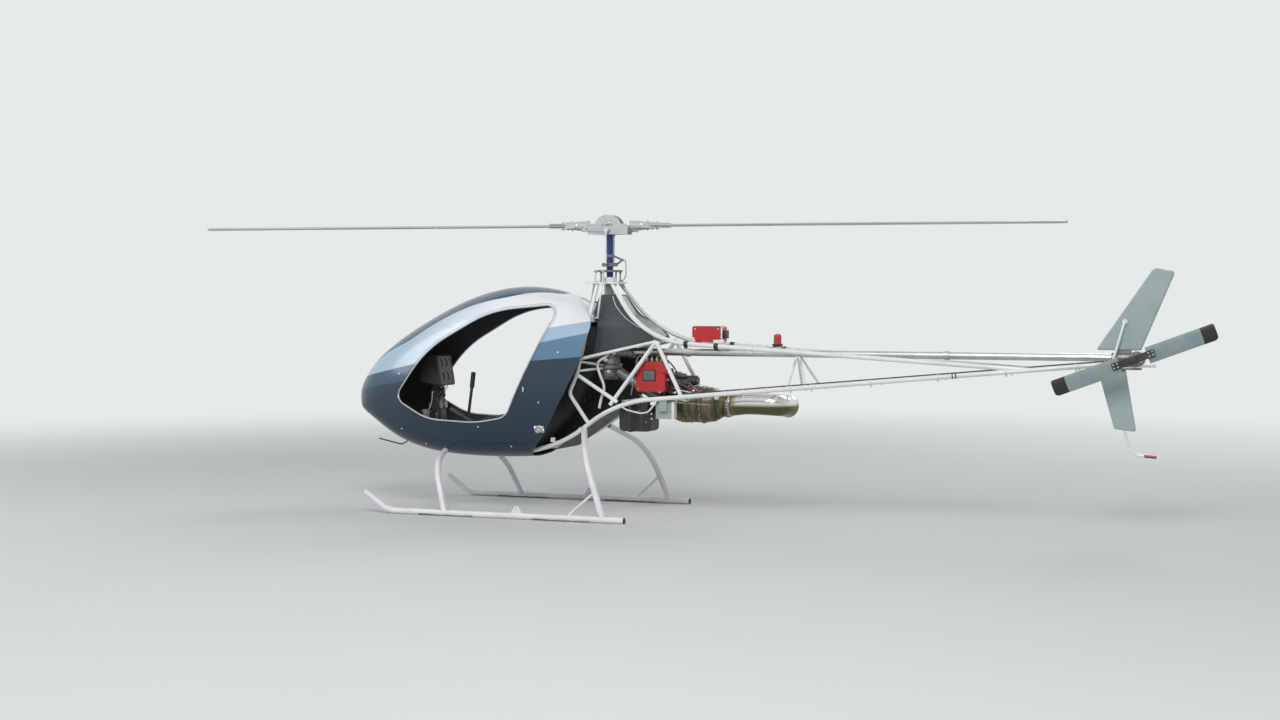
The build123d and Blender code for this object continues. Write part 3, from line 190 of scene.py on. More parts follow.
def useGroup(tree, group, **values):
    node = tree.nodes.new("ShaderNodeGroup")
    node.node_tree = group
    for name, value in values.items():
        node.inputs[name].default_value = value
    return node


def mixColour(tree, mask, first, second):
    # first and second are colours or sockets
    node = tree.nodes.new("ShaderNodeMix")
    node.data_type = "RGBA"
    for socket, value in ((node.inputs[6], first), (node.inputs[7], second)):
        if isinstance(value, (tuple, list)):
            socket.default_value = (*value, 1.0)
        else:
            addLink(tree, value, socket)
    if isinstance(mask, float):
        node.inputs[0].default_value = mask
    else:
        addLink(tree, mask, node.inputs[0])
    return node.outputs[2]


def zoneMask(tree, zone):
    # 1 past a limit along one axis, or past a distance from a hub in the upright plane, in metres
    split = tree.nodes.new("ShaderNodeSeparateXYZ")
    addLink(tree, objectCoords(tree), split.inputs["Vector"])
    if "hub" in zone:
        squares = [mathNode(tree, "POWER", mathNode(tree, "SUBTRACT", split.outputs[axis], middle), 2.0)
                   for axis, middle in zip("XZ", zone["hub"])]
        value = mathNode(tree, "SQRT", mathNode(tree, "ADD", *squares))
    else:
        value = split.outputs[zone["axis"]]
    edge = rangeNode(tree, value, (zone["from"], zone["from"] + zone.get("soft", 0.001)))
    return mathNode(tree, "SUBTRACT", 1.0, edge) if zone.get("below") else edge


def makeSurface(name, look):
    # a principled surface whose colour and roughness vary in patches over a fine grain
    material = bpy.data.materials.new(name)
    material.use_nodes = True
    tree = material.node_tree
    shader = tree.nodes["Principled BSDF"]
    patches = useGroup(tree, patchGroup, Scale=look.get("patchScale", 5.0), Low=0.42, High=0.68,
                       Stretch=look.get("streak", (1, 1, 1)))
    grain = useGroup(tree, grainGroup, Scale=look.get("grainScale", 320.0),
                     Stretch=look.get("stretch", (1, 1, 1)))
    colour = mixColour(tree, patches.outputs["Mask"], look["colour"], look.get("patchColour", look["colour"]))
    for zone in look.get("zones", ()):
        colour = mixColour(tree, zoneMask(tree, zone), colour, zone["colour"])
    addLink(tree, colour, shader.inputs["Base Color"])
    dullest = look["roughness"] + look.get("roughSpread", 0.12)
    roughness = rangeNode(tree, patches.outputs["Mask"], target=(look["roughness"], dullest))
    addLink(tree, roughness, shader.inputs["Roughness"])
    shader.inputs["Metallic"].default_value = look.get("metallic", 0.0)
    shader.inputs["Transmission Weight"].default_value = look.get("transmission", 0.0)
    shader.inputs["Coat Weight"].default_value = look.get("coat", 0.0)
    shader.inputs["Coat Roughness"].default_value = 0.06
    addBump(tree, shader, grain.outputs["Height"], look.get("bump", 0.06), look.get("bumpDistance", 0.0006))
    return material


# ---- finishes
tailHub = (at(3680, 0, 0).x, 1.144)
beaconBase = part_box("beacon")[0].z


def paint(colour, patchColour, roughness, **more):
    return {"colour": colour, "patchColour": patchColour, "roughness": roughness, **more}


surfaces = {
    "framePaint": paint((0.78, 0.81, 0.80), (0.66, 0.70, 0.69), 0.26, coat=0.35, patchScale=3.0),
    "gearPaint": paint((0.80, 0.80, 0.82), (0.70, 0.69, 0.70), 0.28, coat=0.35, patchScale=4.0),
    "windshieldTint": paint((0.30, 0.38, 0.48), (0.26, 0.34, 0.44), 0.04,
        roughSpread=0.03, transmission=0.8, bump=0.01),
    "cabinInside": paint((0.018, 0.020, 0.024), (0.030, 0.032, 0.036), 0.55, bump=0.2),
    "blackPlastic": paint((0.016, 0.017, 0.019), (0.028, 0.028, 0.030), 0.42, bump=0.15),
    "blackMetal": paint((0.020, 0.020, 0.021), (0.045, 0.044, 0.042), 0.38),
    "castMetal": paint((0.30, 0.31, 0.31), (0.17, 0.17, 0.165), 0.45,
        metallic=0.85, bump=0.35, grainScale=220.0),
    "driveTubeMetal": paint((0.62, 0.65, 0.63), (0.45, 0.48, 0.45), 0.30,
        metallic=0.9, stretch=(0.05, 1, 1)),
    "tankPlastic": paint((0.026, 0.031, 0.038), (0.045, 0.052, 0.06), 0.30, coat=0.25, patchScale=2.6),
    "engineBronze": paint((0.20, 0.17, 0.10), (0.055, 0.048, 0.030), 0.30,
        metallic=0.85, patchScale=9.0, streak=(4.0, 1.0, 0.5), bump=0.2),
    "engineDark": paint((0.075, 0.070, 0.066), (0.20, 0.185, 0.17), 0.5,
        metallic=0.6, patchScale=18.0, bump=0.3),
    "exhaustChrome": paint((0.80, 0.80, 0.78),
    (0.62, 0.60, 0.54), 0.10, metallic=1.0, patchScale=3.0, stretch=(0.1, 1, 1),
        # below a set height the chrome is painted dark olive, a painted reflection of the dark ground under the
        # pipe; the front end's bronze is heat tint
        zones=[{"axis": "Z", "from": 0.776, "soft": 0.022, "below": True, "colour": (0.13, 0.125, 0.065)},
               {"axis": "X", "from": mastX + 0.925, "soft": 0.05, "below": True,
                "colour": (0.22, 0.16, 0.10)}]),
    "greyPaint": paint((0.36, 0.42, 0.40), (0.29, 0.34, 0.33), 0.45),
    "redPaint": paint((0.50, 0.010, 0.014), (0.40, 0.012, 0.014), 0.34, coat=0.3),
    "beaconRed": paint((0.50, 0.006, 0.008), (0.38, 0.005, 0.006), 0.12, coat=0.6,
        zones=[{"axis": "Z", "from": beaconBase + 0.017, "below": True, "colour": (0.03, 0.03, 0.032)}]),
    # fin colour: pale grey paint drawn darker and tinted green, as painted shade and a painted green reflection
    "finPaint": paint((0.36, 0.43, 0.44), (0.29, 0.36, 0.37), 0.34, coat=0.2, patchScale=3.0),
    "brightMetal": paint((0.66, 0.67, 0.68), (0.50, 0.51, 0.52), 0.22, metallic=1.0, patchScale=9.0),
    "swashSteel": paint((0.20, 0.22, 0.23), (0.12, 0.13, 0.14), 0.32, metallic=0.75, patchScale=14.0),
    "mastBlue": paint((0.030, 0.036, 0.20), (0.025, 0.028, 0.14), 0.28, metallic=0.3),
    "bladePaint": paint((0.50, 0.52, 0.53), (0.42, 0.44, 0.45), 0.36, patchScale=2.0),
    "tailBladePaint": paint((0.26, 0.32, 0.33), (0.20, 0.26, 0.27), 0.36,
        zones=[{"hub": tailHub, "from": 0.452, "colour": (0.012, 0.013, 0.014)},
               {"hub": tailHub, "from": 0.5435, "colour": (0.72, 0.74, 0.74)}]),
    "rodPaint": paint((0.76, 0.79, 0.79), (0.62, 0.65, 0.65), 0.30, coat=0.3, patchScale=8.0),
    "hoseWhite": paint((0.74, 0.75, 0.72), (0.60, 0.60, 0.56), 0.42, patchScale=9.0),
    "catchWhite": paint((0.80, 0.81, 0.80), (0.62, 0.63, 0.62), 0.3, patchScale=20.0),
    "seamDark": paint((0.012, 0.020, 0.030), (0.030, 0.040, 0.050), 0.6),
    "boltSteel": paint((0.52, 0.53, 0.54), (0.33, 0.32, 0.30), 0.3, metallic=1.0, patchScale=30.0),
    "brassMetal": paint((0.50, 0.42, 0.26), (0.34, 0.28, 0.17), 0.34, metallic=0.9, patchScale=25.0),
    "steelLine": paint((0.50, 0.50, 0.49), (0.34, 0.33, 0.31), 0.3, metallic=0.9, patchScale=20.0),
    "braidDark": paint((0.045, 0.044, 0.042), (0.12, 0.115, 0.11), 0.6, patchScale=90.0, bump=0.4),
    "strapBlack": paint((0.018, 0.018, 0.019), (0.035, 0.034, 0.033), 0.55, patchScale=30.0),
    "leadRed": paint((0.36, 0.045, 0.020), (0.26, 0.035, 0.02), 0.45),
    "leadTan": paint((0.30, 0.23, 0.14), (0.22, 0.17, 0.11), 0.5),
    "leadGrey": paint((0.24, 0.25, 0.25), (0.16, 0.17, 0.17), 0.5),
    "panelGrey": paint((0.085, 0.095, 0.10), (0.13, 0.14, 0.145), 0.22, coat=0.5),
    "dialBlack": paint((0.010, 0.010, 0.011), (0.016, 0.016, 0.017), 0.25, coat=0.6),
    "markWhite": paint((0.72, 0.72, 0.68), (0.60, 0.60, 0.56), 0.5),
    "seatCloth": paint((0.020, 0.021, 0.023), (0.034, 0.035, 0.037), 0.72,
        bump=0.5, grainScale=900.0, bumpDistance=0.0004),
    "lipGrey": paint((0.50, 0.53, 0.55), (0.40, 0.43, 0.45), 0.4),
    "tailSkidPaint": paint((0.78, 0.81, 0.80), (0.66, 0.70, 0.69), 0.3, coat=0.3,
        zones=[{"axis": "X", "from": tailHub[0] + 0.052, "colour": (0.22, 0.040, 0.016)}]),
}
finish = {name: makeSurface(name, look) for name, look in surfaces.items()}


# ---- cabin paint: four bands rise behind the door, light colours run forward over its top edge
cabinPaint = {
    "navy": (0.008, 0.027, 0.052),
    "noseBlue": (0.030, 0.075, 0.135),
    "steelBlue": (0.10, 0.20, 0.30),
    "lightBlue": (0.36, 0.50, 0.62),
    "white": (0.80, 0.83, 0.86),
    "inside": (0.020, 0.024, 0.028),
    "dull": (0.04, 0.055, 0.07),
    "middle": (-950, 0, 960),
    # the side that counts as past, and two design points (x, z) on the sloping line
    "lines": {
        "rear": ("X", (-760, 640), (-330, 1480)),
        "steel": ("Z", (-375, 1095), (-90, 1119)),
        "light": ("Z", (-329, 1229), (-60, 1285)),
        "white": ("Z", (-304, 1327), (-60, 1368)),
        "nose": ("Z", (-1950, 850), (-1450, 930)),
        "top": ("Z", (-1922, 940), (-1404, 1050)),
    },
    "edgeGain": 160.0,  # one over the width of a line's soft edge, in metres
    "fade": (-1.55, -0.75),  # light blue to white over the door, from the mast
    "roughness": (0.24, 0.6),  # outside, inside
    "coat": (0.35, 0.0),
}


def makeCabinPaint(look):
    material = bpy.data.materials.new("cabinPaint")
    material.use_nodes = True
    tree = material.node_tree
    shader = tree.nodes["Principled BSDF"]
    split = tree.nodes.new("ShaderNodeSeparateXYZ")
    addLink(tree, objectCoords(tree), split.inputs["Vector"])

    def past(name):
        # 1 above (Z) or aft of (X) a line
        way, start, end = look["lines"][name]
        spanX, spanZ = end[0] - start[0], end[1] - start[1]
        offX = mathNode(tree, "SUBTRACT", split.outputs["X"], mastX + start[0] / 1000)
        offZ = mathNode(tree, "SUBTRACT", split.outputs["Z"], start[1] / 1000)
        main, other, slope = (offZ, offX, spanZ / spanX) if way == "Z" else (offX, offZ, spanX / spanZ)
        over = mathNode(tree, "SUBTRACT", main, mathNode(tree, "MULTIPLY", other, slope))
        clamp = tree.nodes.new("ShaderNodeClamp")
        gained = mathNode(tree, "MULTIPLY", over, look["edgeGain"])
        addLink(tree, mathNode(tree, "ADD", gained, 0.5), clamp.inputs["Value"])
        return clamp.outputs[0]

    colour = mixColour(tree, past("steel"), look["navy"], look["steelBlue"])
    colour = mixColour(tree, past("light"), colour, look["lightBlue"])
    rearColour = mixColour(tree, past("white"), colour, look["white"])
    fade = rangeNode(tree, split.outputs["X"], [mastX + place for place in look["fade"]])
    topColour = mixColour(tree, fade, look["lightBlue"], look["white"])
    foreColour = mixColour(tree, past("nose"), look["navy"], look["noseBlue"])
    foreColour = mixColour(tree, past("top"), foreColour, topColour)
    bands = mixColour(tree, past("rear"), foreColour, rearColour)
    # faces that look inwards are bare dark moulding
    outwards = tree.nodes.new("ShaderNodeVectorMath")
    outwards.operation = "SUBTRACT"
    outwards.inputs[1].default_value = at(*look["middle"])
    addLink(tree, objectCoords(tree), outwards.inputs[0])
    facing = tree.nodes.new("ShaderNodeVectorMath")
    facing.operation = "DOT_PRODUCT"
    addLink(tree, outwards.outputs["Vector"], facing.inputs[0])
    addLink(tree, tree.nodes.new("ShaderNodeTexCoord").outputs["Normal"], facing.inputs[1])
    inside = mathNode(tree, "LESS_THAN", facing.outputs["Value"], 0.0)
    bands = mixColour(tree, inside, bands, look["inside"])
    patches = useGroup(tree, patchGroup, Scale=3.0, Low=0.4, High=0.75)
    dull = mixColour(tree, 0.94, look["dull"], bands)
    addLink(tree, mixColour(tree, patches.outputs["Mask"], bands, dull), shader.inputs["Base Color"])
    addLink(tree, rangeNode(tree, inside, target=look["roughness"]), shader.inputs["Roughness"])
    addLink(tree, rangeNode(tree, inside, target=look["coat"]), shader.inputs["Coat Weight"])
    shader.inputs["Coat Roughness"].default_value = 0.05
    addBump(tree, shader, useGroup(tree, grainGroup, Scale=9.0).outputs["Height"], 0.08, 0.002)
    return material


finish["cabinPaint"] = makeCabinPaint(cabinPaint)
print("finishes made:", len(finish))

# ---- which node has which finish
nodeFinish = {
    "cabinPaint": ["cabin_port", "cabin_starboard"],
    "windshieldTint": ["windshield"],
    "cabinInside": ["bulkhead", "cabin_floor"],
    "blackPlastic": ["seat_pan", "instrument_pod", "battery_box", "seat_cushion", "back_cushion"],
    "blackMetal": ["cyclic_stick", "collective_lever", "pedals", "pitot_tube", "tail_rotor_hub"],
    "framePaint": ["lower_longeron_starboard", "lower_longeron_port", "upper_longeron_starboard",
                   "upper_longeron_port", "struts_starboard", "struts_port", "cross_tubes", "boom_braces",
                   "mast_top_plate", "engine_mounts", "stabiliser", "fin_strut", "gearbox_arms"],
    "rodPaint": ["pitch_links"],
    "swashSteel": ["lower_swashplate", "upper_swashplate"],
    "gearPaint": ["skid_starboard", "skid_port", "front_legs", "rear_legs", "leg_braces", "wheel_lugs"],
    "castMetal": ["main_gearbox", "tail_gearbox"],
    "driveTubeMetal": ["tail_drive_tube"],
    "tankPlastic": ["fuel_tank"],
    "engineBronze": ["engine"],
    "engineDark": ["engine_accessories"],
    "exhaustChrome": ["exhaust_pipe"],
    "greyPaint": ["grey_box"],
    "redPaint": ["red_control_box", "top_equipment_box"],
    "beaconRed": ["beacon"],
    "tailSkidPaint": ["tail_skid"],
    "finPaint": ["upper_fin", "lower_fin"],
    "brightMetal": ["rotor_yoke", "blade_grips"],
    "mastBlue": ["mast_shaft"],
    "bladePaint": ["main_blade_aft", "main_blade_forward"],
    "tailBladePaint": ["tail_blades"],
}
for finishName, names in nodeFinish.items():
    for name in names:
        if name in nodes:
            nodes[name].data.materials.clear()
            nodes[name].data.materials.append(finish[finishName])
print("nodes dressed")


# ---- helpers for the new pieces

def finishPiece(name, shape, surface, body="airframe", smooth=True):
    # a bmesh becomes a piece that rides on a body
    mesh = bpy.data.meshes.new(name)
    shape.to_mesh(mesh)
    shape.free()
    for face in mesh.polygons:
        face.use_smooth = smooth
    mesh.materials.append(finish[surface])
    piece = addObject(name, mesh)
    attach(piece, body)
    return piece


def meshOf(piece):
    graph = bpy.context.evaluated_depsgraph_get()
    return bpy.data.meshes.new_from_object(piece.evaluated_get(graph))


def mergedCopy(node):
    shape = bmesh.new()
    shape.from_mesh(nodes[node].data)
    bmesh.ops.remove_doubles(shape, verts=shape.verts, dist=0.00005)
    return shape


def turnTo(direction):
    return Vector(direction).to_track_quat("Z", "Y").to_matrix().to_4x4()


def edgesOf(made):
    return list(dict.fromkeys(edge for vert in made["verts"] for edge in vert.link_edges))


def addDisc(shape, place, direction, radius, thickness, bevel=0.0, sides=24):
    # a round pad standing on place and growing along direction
    made = bmesh.ops.create_cone(
        shape, cap_ends=True, segments=sides, radius1=radius, radius2=radius, depth=thickness,
        matrix=Matrix.Translation(place) @ turnTo(direction) @ Matrix.Translation((0, 0, thickness / 2)),
    )
    if bevel:
        rims = [edge for edge in edgesOf(made) if edge.calc_face_angle(0) > 1.0]
        bmesh.ops.bevel(shape, geom=rims, offset=bevel, segments=2, profile=0.5, affect="EDGES", material=-1)


# ---- seat cushions, swelled by a short cloth run and then sewn in channels
cushionLook = {
    "voxel": 0.006,
    "shrink": 0.004,
    "pressure": 4.0,
    "lastFrame": 20,
    "cap": 0.022,
    "heldDepth": 0.014,  # this much of the underside stays flat on the pan
    "seamDepth": 0.007,
    "seamWidth": 0.009,
}
cushions = [
    # node, name, design direction away from the pan, seams along the design axis, their places
    ("seat_cushion", "seatPad", (0.056, 0, 0.998), "x", (-0.88, -0.76)),
    ("back_cushion", "backPad", (-0.953, 0, 0.302), "z", (0.80, 1.00)),
]


def swellCushion(shape, name, away, look):
    mesh = bpy.data.meshes.new(name)
    shape.to_mesh(mesh)
    piece = addObject(name, mesh)
    remesh = piece.modifiers.new("evenFaces", "REMESH")
    remesh.mode = "VOXEL"
    remesh.voxel_size = look["voxel"]
    piece.data = meshOf(piece)
    piece.modifiers.clear()
    lowest = min(vert.co.dot(away) for vert in piece.data.vertices)
    held = [vert.index for vert in piece.data.vertices if vert.co.dot(away) < lowest + look["heldDepth"]]
    group = piece.vertex_groups.new(name="held")
    group.add(held, 1.0, "REPLACE")
    start = [vert.co.copy() for vert in piece.data.vertices]
    cloth = piece.modifiers.new("swell", "CLOTH")
    cloth.settings.use_pressure = True
    cloth.settings.uniform_pressure_force = look["pressure"]
    cloth.settings.effector_weights.gravity = 0.0
    cloth.settings.vertex_group_mass = "held"
    for frameNumber in range(1, look["lastFrame"] + 1):
        bpy.context.scene.frame_set(frameNumber)
    piece.data = meshOf(piece)
    piece.modifiers.clear()
    bpy.context.scene.frame_set(1)
    for vert, first in zip(piece.data.vertices, start):
        moved = vert.co - first
        if moved.length > look["cap"]:
            vert.co = first + moved.normalized() * look["cap"]
    return piece


def sewSeams(piece, away, axis, places, look):
    index = "xz".index(axis) * 2
    for vert in piece.data.vertices:
        if vert.normal.dot(away) < 0.35:
            continue
        along = vert.co[index] - (mastX if axis == "x" else 0.0)
        for place in places:
            near = (along - place) / look["seamWidth"]
            vert.co -= away * look["seamDepth"] * math.exp(-near * near)


for node, name, direction, axis, places in cushions:
    away = Vector(direction).normalized()
    shape = mergedCopy(node)
    shape.normal_update()
    for vert in shape.verts:
        if vert.normal.dot(away) > -0.5:
            vert.co -= vert.normal * cushionLook["shrink"]
    pad = swellCushion(shape, name, away, cushionLook)
    shape.free()
    sewSeams(pad, away, axis, places, cushionLook)
    pad.data.materials.append(finish["seatCloth"])
    for face in pad.data.polygons:
        face.use_smooth = True
    finer = pad.modifiers.new("finer", "SUBSURF")
    finer.levels = 1
    finer.render_levels = 1
    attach(pad, "airframe")
    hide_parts(node)
print("cushions sewn")


# ---- door edges: a pale rolled lip round each opening, and a seam line outside it
doorLook = {"lipRadius": 0.0055, "centreX": -0.93, "centreZ": 1.05, "reachX": 0.72, "reachZ": 0.50}


def outerLoop(shape, test):
    # the longest closed chain of sharp edges that pass the test
    sharp = dict.fromkeys(
        edge for edge in shape.edges
        if len(edge.link_faces) == 2 and edge.calc_face_angle() > 1.0 and test(edge))
    best = []
    while sharp:
        edge = sharp.popitem()[0]
        chain = [edge.verts[0], edge.verts[1]]
        growing = True
        while growing:
            growing = False
            for other in chain[-1].link_edges:
                if other in sharp:
                    del sharp[other]
                    chain.append(other.other_vert(chain[-1]))
                    growing = True
                    break
        if len(chain) > len(best):
            best = chain
    return [vert.co.copy() for vert in best]


def lineShape(name, points, radius, kind="NURBS", sides=2, steps=8, closed=False, caps=True):
    # a line through points, given a thickness
    curve = bpy.data.curves.new(name, "CURVE")
    curve.dimensions = "3D"
    curve.bevel_depth = radius
    curve.bevel_resolution = sides
    curve.use_fill_caps = caps
    spline = curve.splines.new(kind)
    spline.points.add(len(points) - 1)
    for target, point in zip(spline.points, points):
        target.co = (*point, 1.0)
    if kind == "NURBS":
        spline.order_u = 3
        spline.use_endpoint_u = True
        spline.resolution_u = steps
    spline.use_cyclic_u = closed
    holder = addObject(name, curve)
    shape = bmesh.new()
    shape.from_mesh(meshOf(holder))
    bpy.data.objects.remove(holder)
    return shape


def tubeAlong(name, points, radius, surface, closed=False, sides=2):
    shape = lineShape(name, points, radius, kind="POLY", closed=closed, sides=sides)
    return finishPiece(name, shape, surface)


def curvedTube(name, points, radius, surface, sides=2):
    return finishPiece(name, lineShape(name, points, radius, sides=sides), surface)


def runLines(rows, sides=2):
    # rows of name, surface, radius mm and design points
    for name, surface, radius, points in rows:
        curvedTube(name, [at(*point) for point in points], radius / 1000, surface, sides=sides)


cabins = {-1: "cabin_port", 1: "cabin_starboard"}


def doorEdge(side):
    node = cabins[side]
    shape = mergedCopy(node)
    look = doorLook
    centre = Vector((mastX + look["centreX"], 0, look["centreZ"]))

    def onDoor(edge):
        middle = (edge.verts[0].co + edge.verts[1].co) / 2
        inside = abs(middle.x - centre.x) < look["reachX"] and abs(middle.z - centre.z) < look["reachZ"]
        facing = max(abs(face.normal.y) for face in edge.link_faces)
        outward = any(face.normal.y * side > 0.25 for face in edge.link_faces)
        return inside and outward and facing > 0.25

    points = outerLoop(shape, onDoor)
    shape.free()
    if points and (points[0] - points[-1]).length < 0.002:
        points = points[:-1]
    inner = [point - Vector((0, side * 0.5 * look["lipRadius"], 0)) for point in points]
    print("door edge", node, len(points))
    return inner


closureLook = {"lowest": 1.36, "gap": 0.004, "thickness": 0.003, "inwards": 0.002}


def makeRoofClosure(look):
    # the cabin's rear top, closed between the two rims with a sheet in the roof's colour
    shape = mergedCopy("cabin_port")
    middle = at(*cabinPaint["middle"])
    rim = []
    for edge in shape.edges:
        cut = [face for face in edge.link_faces if abs(face.normal.y) < 0.05 and face.normal.x > 0.5]
        skin = [face for face in edge.link_faces if face not in cut]
        if len(cut) == 1 and skin and skin[0].normal.dot(edge.verts[0].co - middle) > 0:
            rim += [vert.co.copy() for vert in edge.verts if vert.co.z > look["lowest"]]
    shape.free()
    rows = []
    for point in sorted(rim, key=lambda place: -place.z):
        if not rows or (point - rows[-1]).length > look["gap"]:
            rows.append(point)
    closure = bmesh.new()
    pairs = [(closure.verts.new(row), closure.verts.new((row.x, -row.y, row.z))) for row in rows]
    for (first, second), (third, fourth) in zip(pairs, pairs[1:]):
        closure.faces.new((first, second, fourth, third))
    bmesh.ops.translate(closure, verts=closure.verts, vec=(-look["inwards"], 0, -look["inwards"]))
    bmesh.ops.recalc_face_normals(closure, faces=closure.faces)
    bmesh.ops.solidify(closure, geom=list(closure.faces), thickness=look["thickness"])
    finishPiece("roofClosure", closure, "cabinPaint", smooth=False)
    print("roof closed with rows:", len(rows))


makeRoofClosure(closureLook)
for side, name in ((-1, "doorLipPort"), (1, "doorLipStarboard")):
    lipPoints = doorEdge(side)
    tubeAlong(name, lipPoints, doorLook["lipRadius"], "lipGrey", closed=True)
print("door lips rolled")


# ---- helpers for fittings that sit on the frame's own surfaces

treeOf = {}


def surfaceFrom(node, start, direction):
    # where a straight look from start along direction first meets a node
    if node not in treeOf:
        mesh = nodes[node].data
        treeOf[node] = BVHTree.FromPolygons(
            [vert.co.copy() for vert in mesh.vertices], [tuple(face.vertices) for face in mesh.polygons])
    place, normal, index, distance = treeOf[node].ray_cast(Vector(start), Vector(direction).normalized())
    return place, normal


def onSide(node, x, z, side):
    return surfaceFrom(node, at(x, side * 1500, z), (0, -side, 0))


def boltOn(shape, node, start, way, facing, size, fix=None):
    # a bolt or rivet where a look from start along way meets a node; with no facing it stands square
    place, normal = surfaceFrom(node, start, way)
    if place is not None:
        (fix or addBolt)(shape, place, normal if facing is None else facing, size)


def addBlock(shape, low, high, bevel=0.0, turn=None, pivot=None):
    # a box between two corners, with its edges broken
    low, high = Vector(low), Vector(high)
    size = high - low
    place = Matrix.Translation((low + high) / 2) @ Matrix.Diagonal((*size, 1.0))
    if turn is not None:
        place = Matrix.Translation(pivot) @ turn @ Matrix.Translation(-Vector(pivot)) @ place
    made = bmesh.ops.create_cube(shape, size=1.0, matrix=place)
    if bevel:
        bmesh.ops.bevel(shape, geom=edgesOf(made), offset=bevel, segments=2, profile=0.5,
                        affect="EDGES", material=-1)


def addBolt(shape, place, direction, size):
    # a washer, a six-sided head and the end of the thread
    direction = Vector(direction).normalized()
    addDisc(shape, place - direction * 0.001, direction, size * 1.15, 0.001 + size * 0.22, sides=20)
    addDisc(shape, place + direction * size * 0.2, direction, size * 0.9, size * 0.75,
            bevel=size * 0.09, sides=6)
    addDisc(shape, place + direction * size * 0.9, direction, size * 0.48, size * 0.35,
            bevel=size * 0.08, sides=12)


def addRivet(shape, place, direction, size):
    direction = Vector(direction).normalized()
    bmesh.ops.create_uvsphere(
        shape, u_segments=10, v_segments=6, radius=size,
        matrix=Matrix.Translation(place) @ turnTo(direction) @ Matrix.Diagonal((1.0, 1.0, 0.45, 1.0)),
    )


def sectionOf(node, near, direction, reach=0.035):
    # centre and radius of a round tube where a plane through near cuts it
    mesh = nodes[node].data
    direction = Vector(direction).normalized()
    cut = []
    for edge in mesh.edges:
        first, last = (mesh.vertices[index].co for index in edge.vertices)
        before, after = (first - near).dot(direction), (last - near).dot(direction)
        if before * after < 0:
            point = first.lerp(last, before / (before - after))
            if (point - near).length < reach:
                cut.append(point)
    side = direction.orthogonal().normalized()
    other = direction.cross(side)
    centre = near.copy()
    for axis in (side, other):
        places = [(point - near).dot(axis) for point in cut]
        centre += axis * (min(places) + max(places)) / 2
    return centre, max((point - centre).length for point in cut)


def addCollar(shape, node, near, direction, width, rise, bevel=0.0008, sides=28):
    # a close collar round a tube
    direction = Vector(direction).normalized()
    centre, radius = sectionOf(node, near, direction)
    addDisc(shape, centre - direction * width / 2, direction, radius + rise, width, bevel=bevel, sides=sides)
    return centre, radius


def addClamp(shape, node, near, direction, width, rise, earTo):
    # a collar with a pinched ear and its screw
    centre, radius = addCollar(shape, node, near, direction, width, rise)
    direction = Vector(direction).normalized()
    ear = Vector(earTo) - direction * Vector(earTo).dot(direction)
    ear.normalize()
    across = direction.cross(ear)
    turn = Matrix((direction, across, ear)).transposed().to_4x4()
    middle = centre + ear * (radius + rise + 0.005)
    half = Vector((width * 0.42, 0.0035, 0.008))
    addBlock(shape, middle - half, middle + half, bevel=0.001, turn=turn, pivot=middle)
    addBolt(shape, middle + across * 0.0035, across, 0.004)
    return centre, radius


def alongTube(start, end, x):
    share = (x - start[0]) / (end[0] - start[0])
    return at(*(a + (b - a) * share for a, b in zip(start, end)))


# ---- cabin: the door's seam line, skin screws, latches and the lower seam
cabinFittings = {
    "seamOut": 0.014,  # outside the door's lip
    "seamRadius": 0.0011,
    "screwSize": 0.0055,
    "skinScrews": [(-1529, 977), (-1519, 574), (-878, 608), (-392, 795), (-250, 1150), (-640, 470),
                   (-1330, 470)],
    "latches": [(-884, 700, 26, 10), (-1528, 815, 10, 24), (-830, 1384, 10, 26), (-506, 886, 9, 34)],
    "topCatches": [(-1121, 1322, 36, 9)],
    "lowerSeam": [(-1130, 509), (-1040, 494), (-943, 486), (-850, 483), (-760, 484)],
    "sidePanel": [(-536, 860), (-566, 800), (-577, 725), (-566, 650), (-533, 584), (-512, 530), (-507, 492)],
}


def seamOnCabin(name, loop, side, closed):
    points = []
    for x, z in loop:
        place, normal = surfaceFrom(cabins[side], (x, side * 1.5, z), (0, -side, 0))
        if place is not None:
            points.append(place)
    tubeAlong(name, points, cabinFittings["seamRadius"], "seamDark", closed=closed, sides=1)


def smoothLine(rows, steps=8):
    # design points (x, z) eased through their neighbours
    points = [at(x, 0, z) for x, z in rows]
    eased = []
    for index in range(len(points) - 1):
        before = points[max(index - 1, 0)]
        first, last = points[index], points[index + 1]
        after = points[min(index + 2, len(points) - 1)]
        for step in range(steps):
            t = step / steps
            eased.append(0.5 * (2 * first + (last - before) * t
                                + (2 * before - 5 * first + 4 * last - after) * t * t
                                + (3 * first - before - 3 * last + after) * t ** 3))
    eased.append(points[-1])
    return [(point.x, point.z) for point in eased]


